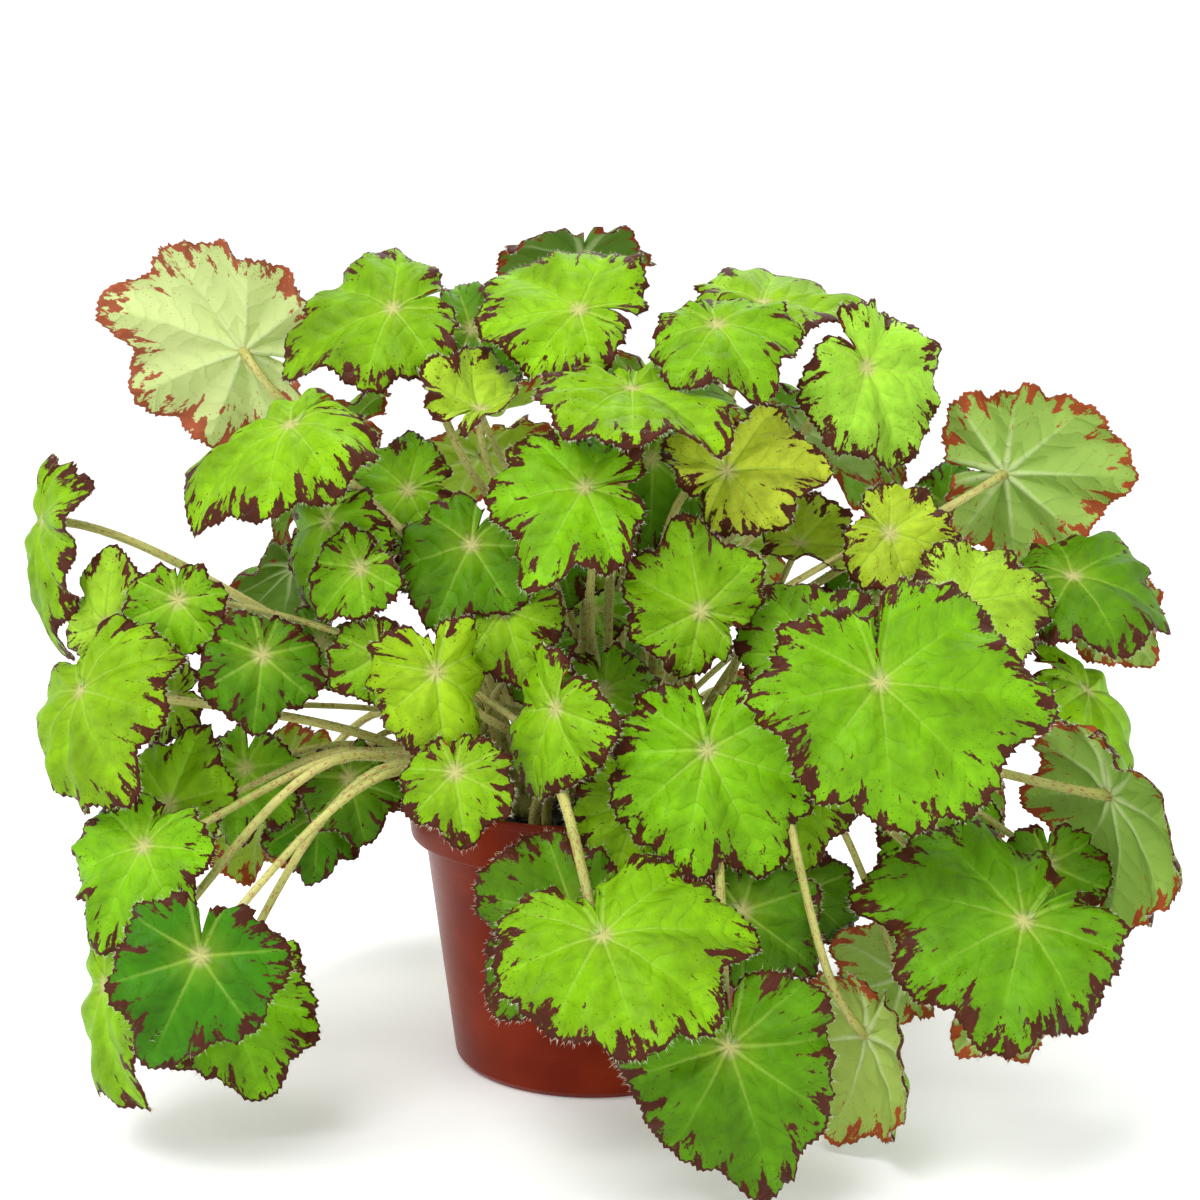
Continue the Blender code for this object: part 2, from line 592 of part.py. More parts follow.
def back_leaf(row, step):
    """A leaf of the far side, moved a little more with each step."""
    name, turn, height, reach, elevation, length, tone = row
    draw = random.Random(f"{name} {step}")
    loose = 0.0 if step == 0 else BACK_TRY[0] + BACK_TRY[1] * step
    turn += draw.uniform(-1, 1) * loose * BACK_LOOSE[0]
    height += draw.uniform(-1, 1) * loose
    reach += draw.uniform(-1, 1) * loose
    elevation += draw.uniform(-1, 1) * loose * BACK_LOOSE[1]
    heading = math.radians(turn)
    outward = np.array((math.cos(heading), math.sin(heading), 0.0))
    rise = math.radians(elevation)
    normal = outward * math.cos(rise) + np.array((0, 0, math.sin(rise)))
    twist = math.radians(draw.uniform(-BACK_TWIST, BACK_TWIST))
    downhill = outward * math.sin(rise) - np.array((0, 0, math.cos(rise)))
    tip = downhill * math.cos(twist) + np.cross(normal, downhill) * math.sin(twist)
    hub = outward * reach + np.array((0, 0, height))
    return Leaf(name, hub, normal, tip, length, (*BACK_BENDS, draw.uniform(-BACK_SKEW, BACK_SKEW)), tone)


def rhizome_line(name, count):
    """Points along a rhizome's centre line."""
    corners = np.array(RHIZOME_LINES[name], float)
    stops = np.linspace(0, 1, len(corners))
    at = np.linspace(0, 1, count)
    x = np.interp(at, stops, corners[:, 0])
    y = np.interp(at, stops, corners[:, 1])
    return np.stack((x, y, np.full(count, RHIZOME_LEVEL)), -1)


def root_sites():
    """Free places for feet on the soil: a triangular grid that leaves the rhizomes clear."""
    lines = np.vstack([rhizome_line(n, 30) for n in RHIZOME_LINES])[:, :2]
    sites = []
    rows = int(ROOT_LIMIT / (ROOT_SPACING * ROW_RATIO)) + 1
    for j in range(-rows, rows + 1):
        for i in range(-10, 11):
            x = (i + 0.5 * (j % 2)) * ROOT_SPACING
            y = j * ROOT_SPACING * ROW_RATIO
            clear = np.min(np.hypot(lines[:, 0] - x, lines[:, 1] - y)) > RHIZOME_CLEAR
            if math.hypot(x, y) < ROOT_LIMIT and clear:
                sites.append((x, y))
    return sites


def shoot_sites():
    """Places along the rhizomes where small leaves spring."""
    sites = []
    for name in RHIZOME_LINES:
        line = rhizome_line(name, 60)
        length = float(np.sum(np.linalg.norm(np.diff(line, axis=0), axis=1)))
        count = int((length - SHOOT_MARGIN) / SHOOT_SPACING)
        for i in range(count):
            x, y, _ = line[int(round((i + 0.7) / (count + 0.4) * 59))]
            sites.append((float(x), float(y), name))
    return sites


def wanted_root(hub):
    """Where a leaf would like to stand: towards its hub, low leaves nearer to the wall."""
    high = min(1.0, max(0.0, (hub[2] - LOWEST_HUB) / HUB_RANGE))
    pull = ROOT_PULL + (ROOT_PULL_HIGH - ROOT_PULL) * high
    far = math.hypot(hub[0], hub[1]) * pull
    scale = pull * min(1.0, (ROOT_LIMIT - 2.0) / max(far, 1e-6))
    return hub[0] * scale, hub[1] * scale


def take_way(leaf, spot, way):
    """Set the foot of a leaf and the swing of its stalk, wider with each way that is tried."""
    draw = random.Random(f"{leaf.name} way {way}")
    swing = SWING_GROWTH * way
    lean = LEAN_GROWTH * way
    leaf.swing = (draw.uniform(-1, 1) * swing, draw.uniform(-0.5, 1) * swing, draw.uniform(-lean, lean))
    leaf.root = spot[:2]
    leaf.own_rhizome = spot[2] if len(spot) == 3 else None
    leaf.foot_low = SHOOT_FOOT if leaf.own_rhizome else FOOT_BOTTOM
    leaf.foot_high = leaf.foot_low + SHOOT_RISE if leaf.own_rhizome else FOOT_TOP


# Settling
def search_piece(name, points, faces):
    """A named piece with its box and search tree."""
    points = np.asarray(points, float)
    return name, points.min(0), points.max(0), BVHTree.FromPolygons(points.tolist(), faces)


def meets(piece, others, skip=()):
    """Whether a piece crosses any of the others."""
    _, low, high, tree = piece
    for name, other_low, other_high, other in others:
        apart = (low > other_high).any() or (high < other_low).any()
        if not apart and name not in skip and tree.overlap(other):
            return True
    return False


def crosses_itself(points, faces):
    """Whether triangles that share no corner cross."""
    tree = BVHTree.FromPolygons(points.tolist(), faces)
    return any(a < b and not set(faces[a]) & set(faces[b]) for a, b in tree.overlap(tree))


def blade_piece(leaf, grow):
    points, faces, hub_ids = blade_mesh(leaf, grow)
    return search_piece(leaf.name, points, faces), points[hub_ids]


def stalk_piece(leaf, hub_ring, grow):
    """The stalk from above its foot to the hub."""
    rings, turn = stalk_mesh(leaf, hub_ring, grow)
    rings.append(np.roll(hub_ring, -turn, 0))
    sides = len(hub_ring)
    rows = [[i * sides + q for q in range(sides)] for i in range(len(rings))]
    return search_piece(leaf.name, np.vstack(rings), tube_faces(rows[1:]))


def blade_fits(leaf, others):
    """Whether the blade stays above the table and clear of the others."""
    piece, _ = blade_piece(leaf, CLEARANCE)
    return piece[1][2] > LOWEST and not meets(piece, others)


def root_stalk(leaf, places, others, stride):
    """Find a foot and a way for the stalk; the way is left set on the leaf."""
    x, y = wanted_root(leaf.hub)
    nearest = sorted(places, key=lambda s: math.hypot(s[0] - x, s[1] - y))[:ROOT_CHOICES]
    _, hub_ring = blade_piece(leaf, 0.0)
    for way in range(0, WAYS, stride):
        for spot in nearest:
            take_way(leaf, spot, way)
            piece = stalk_piece(leaf, hub_ring, CLEARANCE)
            if piece[1][2] > LOWEST and not meets(piece, others, (leaf.own_rhizome,)):
                if not crosses_itself(*leaf_mesh(leaf)):
                    places.remove(spot)
                    return True
    return False


def settle_tier(makers, base, places, placed):
    """Place the blades of a tier, then their stalks, lowest first."""
    blades = {}
    waiting = []
    for maker, row in makers:
        for step in range(STEPS):
            leaf = maker(row, step)
            if blade_fits(leaf, base + list(blades.values())):
                blades[leaf.name] = blade_piece(leaf, 0.0)[0]
                break
        waiting.append((maker, row, leaf, step))
    waiting.sort(key=lambda w: w[2].hub[2])
    stalks = []
    for maker, row, leaf, start in waiting:
        blades.pop(leaf.name, None)
        others = base + stalks + list(blades.values())
        for step in range(start, STEPS):
            if step > start:
                leaf = maker(row, step)
            stride = 1 if step == start else LATER_STRIDE
            if blade_fits(leaf, others) and root_stalk(leaf, places, others, stride):
                placed.append(leaf)
                blade, ring = blade_piece(leaf, 0.0)
                blades[leaf.name] = blade
                stalks.append(stalk_piece(leaf, ring, 0.0))
                break
    base += stalks + list(blades.values())


def settle():
    """Place all leaves, the large front ones first and those of the far side last."""
    front = sorted(((front_leaf, row) for row in FRONT_LEAVES), key=lambda m: -m[1][4])
    base = [search_piece("pot", *envelope_mesh())]
    base += [search_piece(name, *rhizome_mesh(name, 0.0)) for name in RHIZOME_LINES]
    soil_places = root_sites()
    shoots = shoot_sites()
    placed = []
    limits = TIER_LENGTHS + (0.0,)
    upper = math.inf
    for limit in limits:
        tier = [m for m in front if limit <= m[1][4] < upper]
        settle_tier(tier, base, soil_places if limit >= SHOOT_LENGTH else shoots, placed)
        upper = limit
    settle_tier([(back_leaf, row) for row in back_rows()], base, soil_places, placed)
    return placed


# Round meshes
def lathe(profile, sides, wobble=None):
    """Closed mesh of a profile turned about the axis, from the axis below to the axis above."""
    points = [(0.0, 0.0, profile[0][1])]
    for ring, (radius, height) in enumerate(profile[1:-1]):
        for i in range(sides):
            turn = 2 * math.pi * i / sides
            lift = wobble(ring, i) if wobble else 0.0
            points.append((radius * math.cos(turn), radius * math.sin(turn), height + lift))
    points.append((0.0, 0.0, profile[-1][1]))
    rings = len(profile) - 2
    top = len(points) - 1
    faces = []
    for i in range(sides):
        j = (i + 1) % sides
        faces.append((0, 1 + j, 1 + i))
        for r in range(rings - 1):
            a, b = 1 + r * sides + i, 1 + r * sides + j
            faces += [(a, b, b + sides), (a, b + sides, a + sides)]
        faces.append((top, 1 + (rings - 1) * sides + i, 1 + (rings - 1) * sides + j))
    return np.array(points), faces


def pot_profile():
    """Outer and inner line of the pot, from the middle of the base to the middle of the floor."""
    band_foot = POT_HEIGHT - BAND_HEIGHT
    lip = POT_HEIGHT - LIP_HEIGHT
    return [
        (0.0, 0.0),
        (BASE_RADIUS - FOOT_EDGE, 0.0),
        (BASE_RADIUS, FOOT_EDGE),
        (WALL_TOP_RADIUS, band_foot - LIP_EDGE),
        (BAND_FOOT_RADIUS - BAND_EDGE, band_foot),
        (BAND_FOOT_RADIUS, band_foot + BAND_EDGE),
        (LIP_RADIUS - BAND_EDGE, lip - LIP_EDGE),
        (LIP_RADIUS, lip),
        (LIP_RADIUS, POT_HEIGHT - LIP_EDGE),
        (LIP_RADIUS - LIP_EDGE, POT_HEIGHT),
        (LIP_RADIUS - LIP_WALL, POT_HEIGHT),
        (BAND_FOOT_RADIUS - WALL, band_foot + BAND_STEP),
        (WALL_TOP_RADIUS - WALL, band_foot - BAND_STEP),
        (BASE_RADIUS - WALL, FLOOR),
        (0.0, FLOOR),
    ]


def soil_profile():
    """Soil inside the pot, a gap away from it, with rings of uneven surface."""
    band_foot = POT_HEIGHT - BAND_HEIGHT
    inner = BAND_FOOT_RADIUS - WALL - GAP
    dome = [(radius, SOIL_EDGE + SOIL_DOME * share) for radius, share in SOIL_RINGS]
    return [
        (0.0, FLOOR + GAP),
        (BASE_RADIUS - WALL - 2 * GAP, FLOOR + GAP),
        (WALL_TOP_RADIUS - WALL - GAP, band_foot - BAND_STEP + GAP),
        (inner, band_foot + BAND_STEP + GAP),
        (inner + GAP, SOIL_EDGE),
        *dome,
        (0.0, SOIL_EDGE + SOIL_DOME),
    ]


def envelope_mesh():
    """Pot and soil together as one plain body for the leaves to keep clear of."""
    band_foot = POT_HEIGHT - BAND_HEIGHT
    return lathe([
        (0.0, -KEEP_OFF),
        (BASE_RADIUS + KEEP_OFF, -KEEP_OFF),
        (WALL_TOP_RADIUS + KEEP_OFF, band_foot - 3 * KEEP_OFF),
        (BAND_FOOT_RADIUS + 2 * KEEP_OFF, band_foot - 2 * KEEP_OFF),
        (LIP_RADIUS + KEEP_OFF, POT_HEIGHT - LIP_HEIGHT),
        (LIP_RADIUS + KEEP_OFF, POT_HEIGHT + KEEP_OFF),
        (LIP_RADIUS - LIP_WALL - 2 * KEEP_OFF, POT_HEIGHT + KEEP_OFF),
        (LIP_RADIUS - 3 * LIP_WALL, FOOT_TOP - SOIL_DOME),
        (0.0, FOOT_TOP - LIP_HEIGHT),
    ], POT_SIDES)


def rhizome_mesh(name, grow):
    """A creeping stem with blunt ends."""
    line = rhizome_line(name, RHIZOME_STEPS)
    ends = unit(line[0] - line[1]), unit(line[-1] - line[-2])
    beyond = RHIZOME_END + grow
    path = [line[0] + ends[0] * beyond] + list(line) + [line[-1] + ends[1] * beyond]
    sizes = [RHIZOME_BLUNT] + [1.0] * len(line) + [RHIZOME_BLUNT]
    turns = 2 * math.pi * (np.arange(RHIZOME_SIDES) + 0.5) / RHIZOME_SIDES
    points = []
    for i, spot in enumerate(path):
        ahead = unit(path[min(i + 1, len(path) - 1)] - path[max(i - 1, 0)])
        across = unit(np.cross((0, 0, 1), ahead))
        beside = np.cross(ahead, across)
        size = sizes[i] * RHIZOME_RADIUS + grow
        points.append(spot + size * (np.outer(np.cos(turns), across) + np.outer(np.sin(turns), beside)))
    points = np.vstack(points)
    n = RHIZOME_SIDES
    faces = [tuple(reversed(range(n))), tuple(range(len(points) - n, len(points)))]
    for r in range(len(path) - 1):
        for q in range(n):
            a, b = r * n + q, r * n + (q + 1) % n
            faces += [(a, b, b + n), (a, b + n, a + n)]
    return points, faces


# Blender objects
def clear_scene():
    for thing in list(bpy.data.objects):
        bpy.data.objects.remove(thing, do_unlink=True)


def finish(slot):
    """The material of a slot, made once."""
    if slot in bpy.data.materials:
        return bpy.data.materials[slot]
    colour, roughness = FINISHES[slot]
    material = bpy.data.materials.new(slot)
    material.use_nodes = True
    shader = material.node_tree.nodes["Principled BSDF"]
    shader.inputs["Base Color"].default_value = (*colour, 1.0)
    shader.inputs["Roughness"].default_value = roughness
    shader.inputs["Metallic"].default_value = 0.0
    return material


def make_object(name, points, faces, slot):
    """A named object in the scene from points in millimetres."""
    mesh = bpy.data.meshes.new(name)
    mesh.from_pydata((np.asarray(points) * MM).tolist(), [], faces)
    mesh.materials.append(finish(slot))
    thing = bpy.data.objects.new(name, mesh)
    bpy.context.scene.collection.objects.link(thing)
    return thing


def combine(thing, others, operation):
    """Join the others to a piece, or cut them from it, and remove them."""
    group = bpy.data.collections.new("tools")
    bpy.context.scene.collection.children.link(group)
    for other in others:
        bpy.context.scene.collection.objects.unlink(other)
        group.objects.link(other)
    modifier = thing.modifiers.new("combine", "BOOLEAN")
    modifier.operation = operation
    modifier.operand_type = "COLLECTION"
    modifier.collection = group
    modifier.solver = "MANIFOLD"
    graph = bpy.context.evaluated_depsgraph_get()
    result = bpy.data.meshes.new_from_object(thing.evaluated_get(graph))
    thing.modifiers.clear()
    thing.data = result
    for other in others:
        bpy.data.objects.remove(other, do_unlink=True)
    bpy.data.collections.remove(group)


def prism(x, y, radius, low, high, sides, name, slot):
    """An upright prism, the shape of a plain hole."""
    turns = [2 * math.pi * i / sides for i in range(sides)]
    points = [(x + radius * math.cos(t), y + radius * math.sin(t), z) for z in (low, high) for t in turns]
    faces = [tuple(reversed(range(sides))), tuple(range(sides, 2 * sides))]
    for i in range(sides):
        j = (i + 1) % sides
        faces.append((i, j, j + sides, i + sides))
    return make_object(name, points, faces, slot)


def smooth(thing, angle=40.0):
    """Shade a round piece smooth, with its sharp edges kept."""
    mesh = thing.data
    work = bmesh.new()
    work.from_mesh(mesh)
    for edge in work.edges:
        edge.smooth = len(edge.link_faces) == 2 and edge.calc_face_angle(0.0) < math.radians(angle)
    for face in work.faces:
        face.smooth = True
    work.to_mesh(mesh)
    work.free()


def build_pot():
    pot = make_object("pot", *lathe(pot_profile(), POT_SIDES), "pot_terracotta")
    drains = []
    for i in range(DRAIN_HOLES):
        turn = 2 * math.pi * (i + 0.5) / DRAIN_HOLES
        drains.append(prism(DRAIN_CIRCLE * math.cos(turn), DRAIN_CIRCLE * math.sin(turn), DRAIN_RADIUS,
                            -2.0, FLOOR + 2.0, 10, f"drain_{i}", "pot_terracotta"))
    combine(pot, drains, "DIFFERENCE")
    smooth(pot)


def build_soil(leaves):
    """Soil with a plain hole for each foot and a trough for each rhizome."""
    draw = random.Random(SOIL_SEED)
    lifts = [[draw.uniform(-1, 1) * SOIL_ROUGHNESS for _ in range(POT_SIDES)] for _ in soil_profile()]
    points, faces = lathe(soil_profile(), POT_SIDES, lambda ring, i: lifts[ring][i] if ring > 3 else 0.0)
    soil = make_object("soil", points, faces, "soil_peat")
    cutters = []
    for leaf in leaves:
        if leaf.own_rhizome:
            continue
        sides = leaf_counts(leaf.length)[0]
        radius = leaf.stalk * STALK_FOOT_SWELL + GAP / math.cos(math.pi / sides)
        cutters.append(prism(*leaf.root, radius, FOOT_BOTTOM - GAP, FOOT_TOP + 8.0, sides, "hole", "soil_peat"))
    for name in RHIZOME_LINES:
        cutters.append(make_object("trough", *rhizome_mesh(name, GAP), "soil_peat"))
    combine(soil, cutters, "DIFFERENCE")


def build_rhizomes(leaves):
    """Each rhizome with the small leaves that spring from it, fused as one body."""
    for name in RHIZOME_LINES:
        stem = make_object(f"rhizome_{name}", *rhizome_mesh(name, 0.0), "rhizome_green")
        shoots = [make_object(f.name, *leaf_mesh(f), "rhizome_green") for f in leaves if f.own_rhizome == name]
        combine(stem, shoots, "UNION")


def build_leaves(leaves):
    for leaf in leaves:
        if not leaf.own_rhizome:
            make_object(f"leaf_{leaf.name}", *leaf_mesh(leaf), f"leaf_{leaf.tone}")


def main():
    clear_scene()
    leaves = settle()
    build_pot()
    build_soil(leaves)
    build_rhizomes(leaves)
    build_leaves(leaves)


main()
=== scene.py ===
import math
import random

import bpy
import numpy as np
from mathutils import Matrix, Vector
from mathutils.kdtree import KDTree


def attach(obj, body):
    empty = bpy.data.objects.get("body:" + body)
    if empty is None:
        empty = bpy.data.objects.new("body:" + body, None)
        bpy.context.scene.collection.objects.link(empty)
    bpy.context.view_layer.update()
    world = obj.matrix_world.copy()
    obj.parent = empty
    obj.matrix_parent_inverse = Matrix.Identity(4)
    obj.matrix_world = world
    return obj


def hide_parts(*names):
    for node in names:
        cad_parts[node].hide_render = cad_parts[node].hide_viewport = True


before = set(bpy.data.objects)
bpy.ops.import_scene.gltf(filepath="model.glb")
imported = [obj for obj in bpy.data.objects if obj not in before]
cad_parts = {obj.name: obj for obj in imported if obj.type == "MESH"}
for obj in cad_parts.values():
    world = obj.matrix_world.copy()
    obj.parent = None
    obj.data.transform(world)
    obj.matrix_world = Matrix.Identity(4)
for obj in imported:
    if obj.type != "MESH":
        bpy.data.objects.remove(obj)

bl_info = {
    "name": "Potted begonia looks",
    "version": (1, 0, 0),
    "blender": (4, 5, 0),
    "location": "3D View > Sidebar > Begonia",
    "description": "Fine leaves, hairs, soil and finishes for the packed solids of a potted begonia",
    "category": "Object",
}

# The plant is laid out in millimetres, and turned to metres where a mesh is written
MM = 0.001
# Maps over blades and along stalks count in steps of 100 mm
MAP = 100.0

# Pot: a thin tapered plastic wall with a wider band below the lip
POT_HEIGHT = 97.0
BASE_RADIUS = 48.4
WALL_TOP_RADIUS = 58.0
BAND_HEIGHT = 17.5
BAND_FOOT_RADIUS = 62.8
LIP_RADIUS = 65.0
LIP_HEIGHT = 2.2
WALL = 1.4
FLOOR = 2.2
FOOT_EDGE = 1.8
BAND_EDGE = 0.8
LIP_EDGE = 0.5
LIP_WALL = 1.7
BAND_STEP = 1.6
DRAIN_HOLES = 6
DRAIN_RADIUS = 4.0
DRAIN_CIRCLE = 33.0

# Soil and the gap that every piece keeps from the next
GAP = 0.4
SOIL_EDGE = 86.5
SOIL_DOME = 3.5
SOIL_SEED = 11

# Feet of the stalks stand in plain holes
FOOT_BOTTOM = 80.4
FOOT_TOP = 94.5
ROOT_SPACING = 7.6
ROOT_LIMIT = 51.0
ROW_RATIO = 0.866

# Rhizomes: centre lines on the soil, each given by four points
RHIZOME_RADIUS = 4.4
RHIZOME_END = 1.6
RHIZOME_BLUNT = 0.62
RHIZOME_LEVEL = 91.0
RHIZOME_LINES = {
    "west": ((-47, 12), (-40, -2), (-30, -13), (-18, -18)),
    "east": ((47, -16), (40, -4), (38, 10), (42, 24)),
    "north": ((-34, 30), (-20, 37), (-4, 38), (14, 34)),
    "south": ((-6, -46), (8, -40), (18, -30), (22, -18)),
    "middle": ((-16, 16), (-5, 8), (8, 6), (20, 14)),
}
RHIZOME_CLEAR = 8.6
SHOOT_SPACING = 4.9
SHOOT_MARGIN = 4.0
SHOOT_LENGTH = 33.5
SHOOT_FOOT = 90.4
SHOOT_RISE = 9.0

# Blade and stalk
BLADE = 0.8
STALK_BASE = 0.75
STALK_PER_LENGTH = 0.019
STALK_FOOT_SWELL = 1.15
STALK_LOWER = 1.1
STALK_TAPER = 0.25
SLIT = math.radians(5.5)
SLIT_RANGE = (0.8, 1.5)
VEIN_STEP = 45.0
SMALL_VEIN_STEP = 60.0
LARGE_LENGTH = 44.5
LOBE_DEPTH = 0.10
SMALL_LOBE_DEPTH = 0.12
UNEVEN = (0.05, 0.03)
PLEAT = 0.07
FUNNEL = 0.035
FUNNEL_WIDTH = 0.12
CUP = 0.05
WAVE = 0.05
FINE_WAVE = 0.03
RIM_CURL = 0.05
FOLD_REACH = 0.75
OUTLINE_STOPS = (0.0, 0.12, 0.25, 0.45, 0.65, 0.82, 0.93, 1.0)
OUTLINE_REACH = (0.87, 0.84, 0.80, 0.74, 0.66, 0.56, 0.46, 0.34)
TIP_SPIKE = 0.13
TIP_WIDTH = math.radians(13.0)

# Course of a stalk: the way through its middle point and how it meets the blade
START_LEAN = 0.4
BOW = 0.85
MIDDLE_SHARE = 0.40
MIDDLE_RISE = 0.62
MIDDLE_LIFT = 0.25
MIDDLE_LEVEL = (0.6, 0.5)
MIDDLE_COURSE = 0.7
LOW_HUB = 185.0
LOW_BLEND = 70.0
FAR_BLEND = 90.0
BEYOND_LIP = 0.18
OVER_LIP = (0.35, 0.8)
LIP_CLEARANCE = 7.0
LIP_ARCH = 0.07
ARRIVE_COURSE = 0.55
ARRIVE_NORMAL = 0.6
ARRIVE_SINUS = 0.4
ARRIVE_SLOPE = 0.5
SLOPE_MEND = 1.4

# Eye point for reading leaf places: a front view 1200 units square
VIEW_HALF = 600.0
VIEW_SCALE = 2100.0
VIEW_DISTANCE = 706.8
VIEW_HEIGHT = 266.9
VIEW_SIDE = 2.3
VIEW_PITCH = math.radians(8.64)
EDGE_ON = 0.12

# Tries by which leaves and stalks were settled in the solids
STEPS = 48
WAYS = 90
SHRINK = 0.004
FRONT_TRY = (2.5, 0.35)
FRONT_LOOSE = (1.6, 0.8, 0.6)
BACK_TRY = (3.0, 0.5)
BACK_LOOSE = (0.5, 0.8)
SWING_GROWTH = 0.5
LEAN_GROWTH = 0.008

